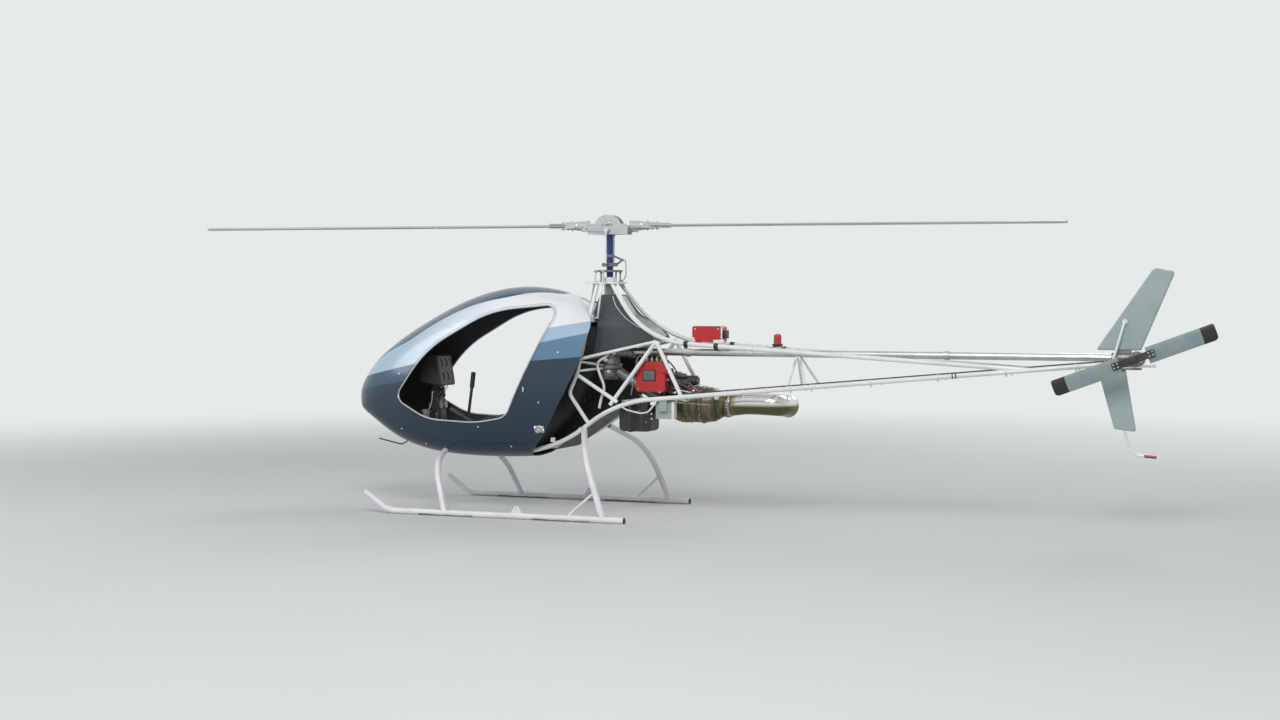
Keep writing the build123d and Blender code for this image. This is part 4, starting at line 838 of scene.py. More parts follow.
for side, name in ((-1, "Port"), (1, "Starboard")):
    node = cabins[side]
    edge = doorEdge(side)
    centre = sum(edge, Vector()) / len(edge)
    outside = []
    for index, point in enumerate(edge):
        along = edge[(index + 2) % len(edge)] - edge[index - 2]
        out = Vector((along.z, 0, -along.x)).normalized()
        if out.dot(point - centre) < 0:
            out = -out
        outside.append((point.x + out.x * cabinFittings["seamOut"], point.z + out.z * cabinFittings["seamOut"]))
    seamOnCabin("doorSeam" + name, outside, side, True)
    seamOnCabin("lowerSeam" + name, smoothLine(cabinFittings["lowerSeam"]), side, False)
    seamOnCabin("sideSeam" + name, smoothLine(cabinFittings["sidePanel"]), side, False)
    screws = bmesh.new()
    for x, z in cabinFittings["skinScrews"]:
        place, normal = onSide(node, x, z, side)
        if place is not None:
            size = cabinFittings["screwSize"]
            addDisc(screws, place - normal * 0.002, normal, size * 1.3, 0.003, bevel=0.0006)
            addRivet(screws, place + normal * 0.001, normal, size)
    finishPiece("skinScrews" + name, screws, "brightMetal")
    catches = bmesh.new()
    for x, z, length, height in cabinFittings["latches"] + cabinFittings["topCatches"]:
        place, normal = onSide(node, x, z, side)
        if place is None:
            continue
        turn = normal.to_track_quat("Z", "Y").to_matrix().to_4x4()
        size = Vector((length, height, 6)) / 1000
        addBlock(catches, place - size / 2, place + size / 2, bevel=0.0015, turn=turn, pivot=place)
        addBolt(catches, place + normal * 0.003, normal, 0.0035)
    finishPiece("doorCatches" + name, catches, "catchWhite")
print("cabin trimmed")


# ---- cabin mounts low at the back: a bolted clamp plate on each side
keelFittings = {
    "x": -402,
    "z": 604,
    "boltSize": 0.0085,
    "size": (0.072, 0.050, 0.006),
    "spread": ((-30, 8), (-6, -6), (18, 10), (2, 18), (-14, -20), (30, -8)),
}


def makeKeelFittings(look):
    for side, name in ((-1, "Port"), (1, "Starboard")):
        node = cabins[side]
        shape = bmesh.new()
        place, normal = onSide(node, look["x"], look["z"], side)
        turn = normal.to_track_quat("Z", "Y").to_matrix().to_4x4()
        size = Vector(look["size"])
        addBlock(shape, place - size / 2, place + size / 2, bevel=0.002, turn=turn, pivot=place)
        for x, z in look["spread"]:
            spot, facing = onSide(node, look["x"] + x, look["z"] + z, side)
            if spot is not None:
                addBolt(shape, spot + facing * 0.004, facing, look["boltSize"])
        finishPiece("keelClamp" + name, shape, "brightMetal")


makeKeelFittings(keelFittings)


# ---- instruments: bezels, dials, needles and knobs on the pod's rear face, leads behind it
podLook = {
    "dials": [(y, row) for row in (0, 1) for y in (-38, 38)],
    "bezel": 0.035,
    "dial": 0.030,
    "ticks": 20,
    "knobs": (-70, 0, 70),
}


def makeInstruments(look):
    low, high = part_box("instrument_pod")
    middleZ = (low.z + high.z) / 2
    bezels, dials, marks, knobs = bmesh.new(), bmesh.new(), bmesh.new(), bmesh.new()
    rows = (middleZ + 0.040, middleZ - 0.050)
    for y, row in look["dials"]:
        start = Vector((high.x + 0.5, y / 1000, rows[row]))
        place, normal = surfaceFrom("instrument_pod", start, (-1, 0, 0))
        if place is None:
            continue
        place = Vector((place.x, y / 1000, place.z))
        addDisc(bezels, place - normal * 0.002, normal, look["bezel"], 0.007, bevel=0.0015, sides=36)
        addDisc(dials, place + normal * 0.0045, normal, look["dial"], 0.0012, sides=36)
        side = normal.orthogonal().normalized()
        other = normal.cross(side)
        face = place + normal * 0.0058
        for tick in range(look["ticks"]):
            angle = 2 * math.pi * tick / look["ticks"]
            out = side * math.cos(angle) + other * math.sin(angle)
            long = 0.0055 if tick % 5 == 0 else 0.003
            turn = Matrix((out, normal.cross(out), normal)).transposed().to_4x4()
            spot = face + out * (look["dial"] - 0.006)
            half = Vector((long / 2, 0.0005, 0.0003))
            addBlock(marks, spot - half, spot + half, turn=turn, pivot=spot)
        angle = 0.7 + 1.9 * row + y * 0.02
        out = side * math.cos(angle) + other * math.sin(angle)
        turn = Matrix((out, normal.cross(out), normal)).transposed().to_4x4()
        spot = face + out * 0.007
        half = Vector((0.014, 0.0008, 0.0004))
        addBlock(marks, spot - half, spot + half, turn=turn, pivot=spot)
        addDisc(marks, face, normal, 0.003, 0.0012, sides=16)
    for y in look["knobs"]:
        start = Vector((high.x + 0.5, y / 1000, low.z + 0.022))
        place, normal = surfaceFrom("instrument_pod", start, (-1, 0, 0))
        if place is not None:
            addDisc(knobs, place - normal * 0.001, normal, 0.009, 0.014, bevel=0.0015, sides=18)
            addDisc(knobs, place + normal * 0.013, normal, 0.006, 0.006, bevel=0.001, sides=18)
    finishPiece("gaugeBezels", bezels, "blackMetal")
    finishPiece("gaugeDials", dials, "dialBlack", smooth=False)
    finishPiece("gaugeMarks", marks, "markWhite", smooth=False)
    finishPiece("podKnobs", knobs, "blackPlastic")


makeInstruments(podLook)

podLeads = {
    "seed": 7,
    "count": 9,
    "radius": 0.0032,
    "colours": ("leadTan", "markWhite", "leadGrey"),
}


def makePodLeads(look):
    # connectors on the pod's two flanks and the leads that run from them under its foot
    draw = random.Random(look["seed"])
    low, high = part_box("instrument_pod")
    for side, name in ((-1, "Port"), (1, "Starboard")):
        sockets = bmesh.new()
        for index in range(look["count"]):
            z = low.z + 0.03 + (high.z - low.z - 0.06) * draw.random()
            x = low.x + (high.x - low.x) * (0.25 + 0.5 * draw.random())
            place, normal = surfaceFrom("instrument_pod", (x, side * 0.5, z), (0, -side, 0))
            if place is None:
                continue
            half = Vector((0.006 + 0.006 * draw.random(), 0.005, 0.004 + 0.004 * draw.random()))
            addBlock(sockets, place - half, place + half, bevel=0.001)
            drop = 0.05 + 0.06 * draw.random()
            out = Vector((0, side, 0))
            points = [
                place,
                place + out * 0.014,
                place + out * (0.018 + 0.008 * draw.random()) + Vector((0.01 * draw.random(), 0, -0.4 * drop)),
                place + out * 0.012 + Vector((-0.01, 0, -drop)),
                Vector((place.x - 0.02, side * 0.09, max(low.z + 0.004, place.z - drop - 0.03))),
            ]
            curvedTube("podLead" + name + str(index), points, look["radius"], look["colours"][index % 3])
        finishPiece("podSockets" + name, sockets, "leadGrey")


makePodLeads(podLeads)
print("instruments fitted")


# ---- truss: clamps and ties on the tubes; the tail control cable along the port boom tube is run further down
lowerPort = ((157, -255, 803), (3540, -62, 1113))
upperPort = ((335, -205, 1235), (3010, -92, 1064))
clampLook = {
    "whiteLower": (1066, 1236, 1398, 1543, 1950, 2400, 2850, 3300),
    "whiteUpper": (1062, 1119),
    "blackUpper": (645, 863),
    "tieLower": (2499, 2521),
    "width": 0.016,
    "rise": 0.003,
    "blackSize": (0.030, 0.004),
    "tieSize": (0.007, 0.003),
}


def towards(line, side):
    first, last = (at(x, abs(y) * side, z) for x, y, z in line)
    return (last - first).normalized()


def onLine(line, x, side):
    first, last = line
    return alongTube((first[0], abs(first[1]) * side, first[2]), (last[0], abs(last[1]) * side, last[2]), x)


def makeClamps(look):
    for side, name in ((-1, "port"), (1, "starboard")):
        white, black = bmesh.new(), bmesh.new()
        lower, upper = "lower_longeron_" + name, "upper_longeron_" + name
        size = (look["width"], look["rise"])
        for x in look["whiteLower"]:
            addClamp(white, lower, onLine(lowerPort, x, side), towards(lowerPort, side), *size, (0, 0, -1))
        for x in look["whiteUpper"]:
            addClamp(white, upper, onUpper(x, side), towards(upperPort, side), *size, (0, 0, -1))
        for x in look["blackUpper"]:
            addClamp(black, upper, onUpper(x, side), towards(upperPort, side), *look["blackSize"], (0, 0, -1))
        for x in look["tieLower"]:
            addCollar(black, lower, onLine(lowerPort, x, side), towards(lowerPort, side), *look["tieSize"])
        finishPiece("whiteClamps_" + name, white, "catchWhite")
        finishPiece("blackClamps_" + name, black, "blackPlastic")


def onUpper(x, side):
    # the middle of the upper tube at a design x, found from its own mesh
    node = "upper_longeron_port" if side < 0 else "upper_longeron_starboard"
    start = at(x, side * 1000, 0) + Vector((0, 0, upperHeight(x) / 1000))
    place, normal = surfaceFrom(node, start, (0, -side, 0))
    return place - Vector((0, side * 0.016, 0))


def upperHeight(x):
    first, last = upperPort
    return first[2] + (last[2] - first[2]) * (x - first[0]) / (last[0] - first[0])


makeClamps(clampLook)
print("truss clamped")


# ---- rotor head: bolts through the grips, straps and head, in line with the blades
headLook = {
    "turn": 3.8,  # degrees, the blades' heading at rest
    "hubZ": 2057.0,
    "planeZ": 2045.0,
    "strapBolts": (316, 352),
    "gripBolts": (148, 282),
    "boltSize": 0.0085,
    "nutSize": 0.013,
}


def onRotor(along, across, z):
    angle = math.radians(headLook["turn"])
    return at(along * math.cos(angle) - across * math.sin(angle),
              along * math.sin(angle) + across * math.cos(angle), z)


def makeHeadBolts(look):
    shape, nuts = bmesh.new(), bmesh.new()
    spots = [(along, across, way, 1.0)
             for along in look["strapBolts"] for across in (-16, 16) for way in (-1, 1)]
    spots += [(along, 0, way, 0.8) for along in look["gripBolts"] for way in (-1, 1)]
    for sign in (-1, 1):
        for along, across, way, share in spots:
            start = onRotor(sign * along, across, look["planeZ"] + way * 120)
            boltOn(shape, "blade_grips", start, (0, 0, -way), (0, 0, way), look["boltSize"] * share)
    for way in (-1, 1):
        facing = onRotor(0, way, 0) - onRotor(0, 0, 0)
        for along in (-34, 34):
            start = onRotor(along, way * 200, look["hubZ"] - 4)
            boltOn(shape, "rotor_yoke", start, -facing, facing, look["boltSize"])
        boltOn(nuts, "rotor_yoke", onRotor(0, way * 200, look["hubZ"]), -facing, facing, look["nutSize"])
    finishPiece("headBolts", shape, "boltSteel", "main_rotor_head")
    finishPiece("teeterNuts", nuts, "boltSteel", "main_rotor_head")


makeHeadBolts(headLook)
print("head bolted")


# ---- tail: fin and stabiliser rivets, gearbox bolts and blade root bolts
tailLook = {
    "x": 3680,
    "endZ": 1113,
    "hubY": -187,
    "hubZ": 1144,
    "rivetSize": 0.0032,
    "upperRows": [((-215, 110), (120, 605)), ((4, 105), (222, 590)), ((-90, 112), (182, 598))],
    "lowerRows": [((-232, -60), (-128, -415)), ((-82, -60), (-14, -425))],
    "rivets": 16,
    "bladeTurn": 20.7,  # degrees, the tail blades at rest
}


def makeFinRivets(look):
    for node, rows, name in (("upper_fin", look["upperRows"], "upperFinRivets"),
                             ("lower_fin", look["lowerRows"], "lowerFinRivets")):
        shape = bmesh.new()
        for first, last in rows:
            for index in range(look["rivets"]):
                share = (index + 0.5) / look["rivets"]
                x = look["x"] + first[0] + (last[0] - first[0]) * share
                z = look["endZ"] + first[1] + (last[1] - first[1]) * share
                for side in (-1, 1):
                    boltOn(shape, node, at(x, side * 1500, z), (0, -side, 0), None, look["rivetSize"], addRivet)
        finishPiece(name, shape, "finPaint")
    shape = bmesh.new()
    for index in range(12):
        y = 90 + 44 * index
        for x in (-150 + 0.20 * (y - 62), -60 + 0.02 * (y - 62)):
            for way in (-1, 1):
                start = at(look["x"] + x, y, 1100 + way * 200)
                boltOn(shape, "stabiliser", start, (0, 0, -way), None, look["rivetSize"], addRivet)
    finishPiece("stabiliserRivets", shape, "framePaint")


makeFinRivets(tailLook)


def makeTailBolts(look):
    # case bolts and the blades' root bolts
    case = bmesh.new()
    for index in range(6):
        angle = math.radians(30 + 60 * index)
        start = at(look["x"] + 38 * math.cos(angle), look["hubY"] - 20, look["hubZ"] + 38 * math.sin(angle))
        boltOn(case, "tail_gearbox", start, (0, 1, 0), (0, -1, 0), 0.0045)
    finishPiece("tailCaseBolts", case, "boltSteel")
    roots = bmesh.new()
    angle = math.radians(look["bladeTurn"])
    for sign in (-1, 1):
        for along in (104, 130):
            for across in (-11, 11):
                x = look["x"] + sign * along * math.cos(angle) - across * math.sin(angle)
                z = look["hubZ"] + sign * along * math.sin(angle) + across * math.cos(angle)
                boltOn(roots, "tail_rotor_hub", at(x, look["hubY"] - 200, z), (0, 1, 0), (0, -1, 0), 0.0055)
    finishPiece("tailRootBolts", roots, "boltSteel", "tail_rotor")


makeTailBolts(tailLook)
print("tail riveted")


# ---- engine: flange bolts, fuel and oil lines, leads
engineLook = {
    "frontX": 400,
    "axisZ": 785,
    "rearX": 890,
    "frontBolts": (14, 84, 0.0048),
    "rearBolts": (10, 84, 0.005),
    "bandBolts": (18, 127),
}


def makeEngineBolts(look):
    shape = bmesh.new()
    for key, node, x, away, way in (("frontBolts", "engine", look["frontX"], -40, 1),
                                    ("rearBolts", "exhaust_pipe", look["rearX"], 200, -1)):
        count, radius, size = look[key]
        limit = at(x + (20 if way > 0 else 40), 0, 0).x
        for index in range(count):
            angle = 2 * math.pi * (index + 0.5) / count
            start = at(x + away, radius * math.cos(angle), look["axisZ"] + radius * math.sin(angle))
            place, normal = surfaceFrom(node, start, (way, 0, 0))
            if place is not None and place.x < limit:
                addBolt(shape, place, (-way, 0, 0), size)
    count, radius = look["bandBolts"]
    for index in range(count):
        angle = 2 * math.pi * (index + 0.5) / count
        out = Vector((0, math.cos(angle), math.sin(angle)))
        for x in (622, 718):
            boltOn(shape, "engine", at(x, 0, look["axisZ"]) + out * 0.3, -out, out, 0.0045, addRivet)
    finishPiece("engineBolts", shape, "boltSteel")


makeEngineBolts(engineLook)

engineLines = [
    # name, surface, radius mm, design points
    ("fuelLine", "steelLine", 5, [(470, -60, 872), (470, -92, 905), (540, -120, 900), (600, -112, 880),
                                  (648, -98, 872)]),
    ("oilLine", "braidDark", 7, [(560, 70, 925), (590, 108, 910), (660, 128, 870), (700, 118, 836),
                                 (716, 96, 812)]),
    ("oilReturn", "braidDark", 7, [(452, 60, 700), (470, 96, 668), (540, 104, 650), (610, 84, 664),
                                   (640, 66, 684)]),
    ("igniterLead", "leadRed", 4, [(600, -60, 905), (640, -96, 916), (720, -118, 880), (766, -112, 836),
                                   (782, -96, 810)]),
    ("fuelRailLow", "steelLine", 4, [(560, -124, 800), (600, -138, 800), (700, -138, 796), (760, -132, 792),
                                     (800, -110, 790)]),
    ("harness", "braidDark", 6, [(486, -130, 960), (530, -128, 950), (590, -118, 925), (640, -110, 900),
                                 (668, -100, 880)]),
    ("senseLine", "steelLine", 3, [(520, 20, 955), (540, -30, 965), (600, -40, 950), (660, -60, 905),
                                   (700, -80, 880)]),
]


def makeEngineLines(rows):
    for name, surface, radius, points in rows:
        curvedTube(name, [at(*point) for point in points], radius / 1000, surface)
        ends = bmesh.new()
        for near, far in ((points[0], points[1]), (points[-1], points[-2])):
            way = (at(*far) - at(*near)).normalized()
            addDisc(ends, at(*near) - way * 0.004, way, radius * 1.9 / 1000, 0.014, bevel=0.001, sides=6)
        finishPiece(name + "Nuts", ends, "boltSteel")


makeEngineLines(engineLines)
print("engine plumbed")


# ---- boxes: the red control box's framed panel, screws, connectors and the other boxes' trim
boxLook = {
    # node, facing, inset, share of the screw's size
    "screwed": [("red_control_box", (0, -1, 0), 0.016, 1.0), ("top_equipment_box", (0, -1, 0), 0.020, 1.0),
                ("top_equipment_box", (0, 1, 0), 0.020, 1.0), ("grey_box", (0, -1, 0), 0.014, 0.9)],
    "screw": 0.005,
    "strapX": 236,
    "strapWidth": 0.022,
}


def cornerScrews(shape, node, facing, inset, size):
    # a screw near each corner of the face a box turns to facing
    low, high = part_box(node)
    axis = max(range(3), key=lambda index: abs(facing[index]))
    first, second = [index for index in range(3) if index != axis]
    for a in (low[first] + inset, high[first] - inset):
        for b in (low[second] + inset, high[second] - inset):
            start = Vector((0, 0, 0))
            start[axis] = (high if facing[axis] > 0 else low)[axis] + 0.2 * facing[axis]
            start[first], start[second] = a, b
            place, normal = surfaceFrom(node, start, -Vector(facing))
            if place is not None and normal.dot(Vector(facing)) > 0.8:
                addDisc(shape, place - Vector(facing) * 0.001, facing, size * 1.3, 0.002, sides=18)
                addRivet(shape, place + Vector(facing) * 0.0008, facing, size)


def framedPanel(name, node, middle, width, height, side, frameSurface, glassSurface):
    # a raised frame round a blank inset panel on a box's side
    place, normal = onSide(node, middle[0], middle[1], side)
    rim = bmesh.new()
    half = Vector((width / 2000, 0.003, height / 2000))
    bar = 0.006
    for low, high in (
        ((-half.x, -half.y, half.z - bar), (half.x, half.y, half.z)),
        ((-half.x, -half.y, -half.z), (half.x, half.y, -half.z + bar)),
        ((-half.x, -half.y, -half.z + bar), (-half.x + bar, half.y, half.z - bar)),
        ((half.x - bar, -half.y, -half.z + bar), (half.x, half.y, half.z - bar)),
    ):
        addBlock(rim, place + Vector(low), place + Vector(high), bevel=0.0008)
    finishPiece(name + "Frame", rim, frameSurface)
    plate = bmesh.new()
    inner = Vector((half.x - bar + 0.0003, 0.0012, half.z - bar + 0.0003))
    addBlock(plate, place - inner, place + inner)
    finishPiece(name + "Plate", plate, glassSurface, smooth=False)


def makeBoxTrim(look):
    screws = bmesh.new()
    for node, facing, inset, share in look["screwed"]:
        cornerScrews(screws, node, facing, inset, look["screw"] * share)
    finishPiece("boxScrews", screws, "brightMetal")
    framedPanel("controlPanel", "red_control_box", (366, 992), 96, 78, -1, "blackPlastic", "panelGrey")
    plugs = bmesh.new()
    for x in (300, 336, 372, 410, 446):
        place, normal = surfaceFrom("red_control_box", at(x, -136, 1300), (0, 0, -1))
        if place is not None:
            addDisc(plugs, place - Vector((0, 0, 0.001)), (0, 0, 1), 0.010, 0.020, bevel=0.0015, sides=18)
            addDisc(plugs, place + Vector((0, 0, 0.018)), (0, 0, 1), 0.0065, 0.014, bevel=0.001, sides=14)
    finishPiece("controlPlugs", plugs, "brassMetal")
    strap = bmesh.new()
    low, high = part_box("battery_box")
    x = at(look["strapX"], 0, 0).x
    for start, end in (
        ((x, low.y - 0.0015, low.z - 0.0015), (x + look["strapWidth"], high.y + 0.0015, low.z + 0.0005)),
        ((x, low.y - 0.0015, low.z - 0.001), (x + look["strapWidth"], low.y + 0.0006, high.z - 0.008)),
        ((x, high.y - 0.0006, low.z - 0.001), (x + look["strapWidth"], high.y + 0.0015, high.z - 0.008)),
    ):
        addBlock(strap, start, end, bevel=0.0005)
    finishPiece("batteryStrap", strap, "strapBlack")
    seam = bmesh.new()
    place, normal = onSide("battery_box", 313, 690, -1)
    addBlock(seam, place + Vector((-0.001, -0.0008, -0.085)), place + Vector((0.001, 0.001, 0.066)))
    for x, z in ((362, 722), (352, 662), (300, 742)):
        boltOn(seam, "battery_box", at(x, -1500, z), (0, 1, 0), None, 0.006)
    finishPiece("batterySeam", seam, "leadGrey")


makeBoxTrim(boxLook)
boxLeads = [
    ("controlLeadA", "leadGrey", 4, [(300, -136, 1108), (296, -140, 1130), (270, -150, 1120),
                                     (262, -164, 1060), (250, -170, 960), (240, -178, 900), (236, -190, 850)]),
    ("controlLeadB", "strapBlack", 5, [(336, -136, 1108), (338, -130, 1135), (360, -110, 1140),
                                       (420, -60, 1120), (470, -30, 1080), (520, -20, 1010), (540, -20, 960)]),
    ("controlLeadC", "leadTan", 4, [(410, -136, 1108), (412, -140, 1128), (450, -150, 1124),
                                    (500, -150, 1060), (510, -140, 990), (540, -120, 930), (580, -100, 900)]),
    ("controlLeadD", "strapBlack", 4, [(446, -136, 1108), (448, -132, 1126), (480, -126, 1116),
                                       (494, -120, 1040), (492, -130, 960), (486, -150, 880),
                                       (470, -170, 846)]),
]
runLines(boxLeads)
print("boxes trimmed")


# ---- tank: a filler cap on the starboard shoulder
tankLook = {"capX": 150, "capZ": 1370, "capRadius": 0.034, "capHeight": 0.024, "grips": 18}


def makeTankTrim(look):
    cap = bmesh.new()
    place, normal = onSide("fuel_tank", look["capX"], look["capZ"], 1)
    if place is not None:
        addDisc(cap, place - normal * 0.004, normal, look["capRadius"] * 1.15, 0.010, bevel=0.002, sides=36)
        addDisc(cap, place + normal * 0.006, normal, look["capRadius"], look["capHeight"],
                bevel=0.003, sides=36)
        side = normal.orthogonal().normalized()
        other = normal.cross(side)
        for index in range(look["grips"]):
            angle = 2 * math.pi * index / look["grips"]
            out = side * math.cos(angle) + other * math.sin(angle)
            grip = place + out * look["capRadius"] + normal * 0.008
            addDisc(cap, grip, normal, 0.0028, look["capHeight"] - 0.004, sides=8)
    finishPiece("fillerCap", cap, "blackPlastic")


makeTankTrim(tankLook)
print("tank trimmed")


# ---- landing gear: wear shoes, end plugs and saddle bolts
gearLook = {
    "shoes": ((-1180, -760), (-300, 120)),
    "shoeRise": 0.0022,
    "plugLength": 0.012,
    "radius": 0.022,
    "turns": 10,
}


def makeGearTrim(look):
    for side, name in ((-1, "port"), (1, "starboard")):
        node = "skid_" + name
        low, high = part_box(node)
        middleY = (low.y + high.y) / 2
        radius = look["radius"]
        reach = radius + 0.0002
        shoes = bmesh.new()
        for first, last in look["shoes"]:
            start, end = at(first, 0, 0).x, at(last, 0, 0).x
            ring = []
            for index in range(look["turns"] + 1):
                angle = math.radians(200 + 140 * index / look["turns"])
                ring.append(shoes.verts.new(
                    (start, middleY + math.cos(angle) * reach, radius + math.sin(angle) * reach)))
            edges = [shoes.edges.new((a, b)) for a, b in zip(ring, ring[1:])]
            grown = bmesh.ops.extrude_edge_only(shoes, edges=edges)
            moved = [item for item in grown["geom"] if isinstance(item, bmesh.types.BMVert)]
            bmesh.ops.translate(shoes, verts=moved, vec=(end - start, 0, 0))
        bmesh.ops.recalc_face_normals(shoes, faces=shoes.faces)
        bmesh.ops.solidify(shoes, geom=list(shoes.faces), thickness=-look["shoeRise"])
        finishPiece("wearShoes_" + name, shoes, "boltSteel")
        plugs = bmesh.new()
        place = Vector((high.x - 0.006, middleY, radius))
        addDisc(plugs, place, (1, 0, 0), radius * 0.97, look["plugLength"], bevel=0.002, sides=32)
        finishPiece("skidPlug_" + name, plugs, "blackPlastic")
        bolts = bmesh.new()
        for x in (-985, 215):
            for shift in (-34, 34):
                start = Vector((at(x + shift, 0, 0).x, middleY + side * 0.004, 0.4))
                boltOn(bolts, node, start, (0, 0, -1), (0, 0, 1), 0.006)
        finishPiece("skidBolts_" + name, bolts, "boltSteel")


makeGearTrim(gearLook)
print("landing gear trimmed")


# ---- beacon base and the top plate's bolts
def makeTopTrim():
    base = bmesh.new()
    low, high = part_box("beacon")
    middle = (low + high) / 2
    addDisc(base, Vector((middle.x, middle.y, low.z + 0.012)), (0, 0, 1), 0.038, 0.010, bevel=0.002, sides=36)
    finishPiece("beaconBase", base, "blackPlastic")
    bolts = bmesh.new()
    for x, y in ((-66, -84), (-66, 84), (62, -84), (62, 84), (-70, 0), (0, -90), (0, 90)):
        boltOn(bolts, "mast_top_plate", at(x, y, 1760), (0, 0, -1), (0, 0, 1), 0.007)
    finishPiece("topPlateBolts", bolts, "boltSteel")
    gearbox = bmesh.new()
    for index in range(16):
        angle = 2 * math.pi * (index + 0.5) / 16
        start = at(84 * math.cos(angle), 84 * math.sin(angle), 1060)
        boltOn(gearbox, "main_gearbox", start, (0, 0, -1), (0, 0, 1), 0.0045)
    finishPiece("gearboxBolts", gearbox, "boltSteel")


makeTopTrim()
print("top trimmed")


# ---- forms beyond the frame's solids: the exhaust's turned end and the swept stabiliser
exhaustLook = {
    "line": [(890, 0, 785), (930, 0, 785), (1030, 0, 801), (1235, 0, 793), (1264, 70, 786), (1270, 190, 775)],
    "radius": 0.076,
    "wall": 0.003,
    "lipRise": 0.004,
    "flangeRise": 0.012,
    "flangeThickness": 0.010,
    "clampX": 912,
    "clampWidth": 0.018,
    "clampRise": 0.007,
}


def makeExhaust(look):
    # an open pipe swept along its line, with a flange, a rolled lip and a band clamp
    shape = lineShape("exhaustLine", [at(*point) for point in look["line"]], look["radius"],
                      sides=10, steps=14, caps=False)
    mouthY = at(*look["line"][-1]).y
    for vert in shape.verts:
        if vert.co.y > mouthY - 0.012:
            centre = at(look["line"][-1][0], 0, look["line"][-1][2])
            out = Vector((vert.co.x - centre.x, 0, vert.co.z - centre.z)).normalized()
            vert.co += out * look["lipRise"]
    bmesh.ops.recalc_face_normals(shape, faces=shape.faces)
    bmesh.ops.solidify(shape, geom=list(shape.faces), thickness=look["wall"])
    front = at(*look["line"][0])
    flange = bmesh.ops.create_cone(
        shape, cap_ends=False, segments=48, depth=look["flangeThickness"],
        radius1=look["radius"] + look["flangeRise"], radius2=look["radius"] + look["flangeRise"],
        matrix=Matrix.Translation(front + Vector((look["flangeThickness"] / 2, 0, 0))) @ turnTo((1, 0, 0)),
    )
    rims = [edge for edge in edgesOf(flange) if edge.is_boundary]
    grown = bmesh.ops.extrude_edge_only(shape, edges=rims)
    inner = [item for item in grown["geom"] if isinstance(item, bmesh.types.BMVert)]
    share = (look["radius"] - 0.001) / (look["radius"] + look["flangeRise"])
    for vert in inner:
        vert.co.y = front.y + (vert.co.y - front.y) * share
        vert.co.z = front.z + (vert.co.z - front.z) * share
    pipe = finishPiece("exhaustTurned", shape, "exhaustChrome")
    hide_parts("exhaust_pipe")
    band = bmesh.new()
    middle = at(look["clampX"], 0, look["line"][0][2])
    addDisc(band, middle - Vector((look["clampWidth"] / 2, 0, 0)),
    (1, 0, 0), look["radius"] + look["clampRise"],
            look["clampWidth"], bevel=0.002, sides=48)
    for lift in (-0.011, 0.011):
        lug = middle + Vector((0, -look["radius"] - 0.018, lift))
        half = Vector((look["clampWidth"] / 2, 0.014, 0.004))
        addBlock(band, lug - half, lug + half, bevel=0.001)
    addBolt(band, middle + Vector((0, -look["radius"] - 0.022, 0.015)), (0, 0, 1), 0.006)
    finishPiece("exhaustBand", band, "boltSteel")


makeExhaust(exhaustLook)

stabiliserLook = {
    # design x, y and height of the middle of each corner: front root, rear root, rear tip, front tip
    "corners": [(3500, 62, 1095), (3668, 62, 1095), (3738, 600, 1076), (3650, 600, 1076)],
    "thickness": 0.020,
    "edge": 0.005,
}


def makeStabiliser(look):
    shape = bmesh.new()
    face = shape.faces.new([shape.verts.new(at(*corner)) for corner in look["corners"]])
    grown = bmesh.ops.extrude_face_region(shape, geom=[face])
    moved = [item for item in grown["geom"] if isinstance(item, bmesh.types.BMVert)]
    bmesh.ops.translate(shape, verts=moved, vec=(0, 0, look["thickness"]))
    bmesh.ops.translate(shape, verts=shape.verts, vec=(0, 0, -look["thickness"] / 2))
    bmesh.ops.recalc_face_normals(shape, faces=shape.faces)
    bmesh.ops.bevel(shape, geom=list(shape.edges), offset=look["edge"], segments=3, profile=0.5,
                    affect="EDGES", material=-1)
    skin = finishPiece("stabiliserSkin", shape, "framePaint")
    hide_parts("stabiliser")


makeStabiliser(stabiliserLook)
print("exhaust and stabiliser formed")


# ---- controls and lines round the mast: rods, the bent arm, hoses and the battery lead
rodLook = {
    "ringZ": 1716,
    "sideTop": (0, 122),
    "sideFoot": (-30, 158, 1390),
    "frontTop": (-84, 0),
    "frontFoot": (-142, 0, 1500),
    "postClamp": (-88, 128, 1390),
    "radius": 0.0075,
    "endRadius": 0.011,
    "earReach": 134,
}


def addRod(shape, start, end, radius, sides=20):
    way = end - start
    addDisc(shape, start, way.normalized(), radius, way.length, sides=sides)


def addEye(shape, place, across, radius, width):
    # a rod end with its bolt across it
    across = Vector(across).normalized()
    addDisc(shape, place - across * width / 2, across, radius, width, bevel=0.001, sides=24)
    addDisc(shape, place - across * (width / 2 + 0.004), across, radius * 0.5, width + 0.008,
            bevel=0.0008, sides=6)


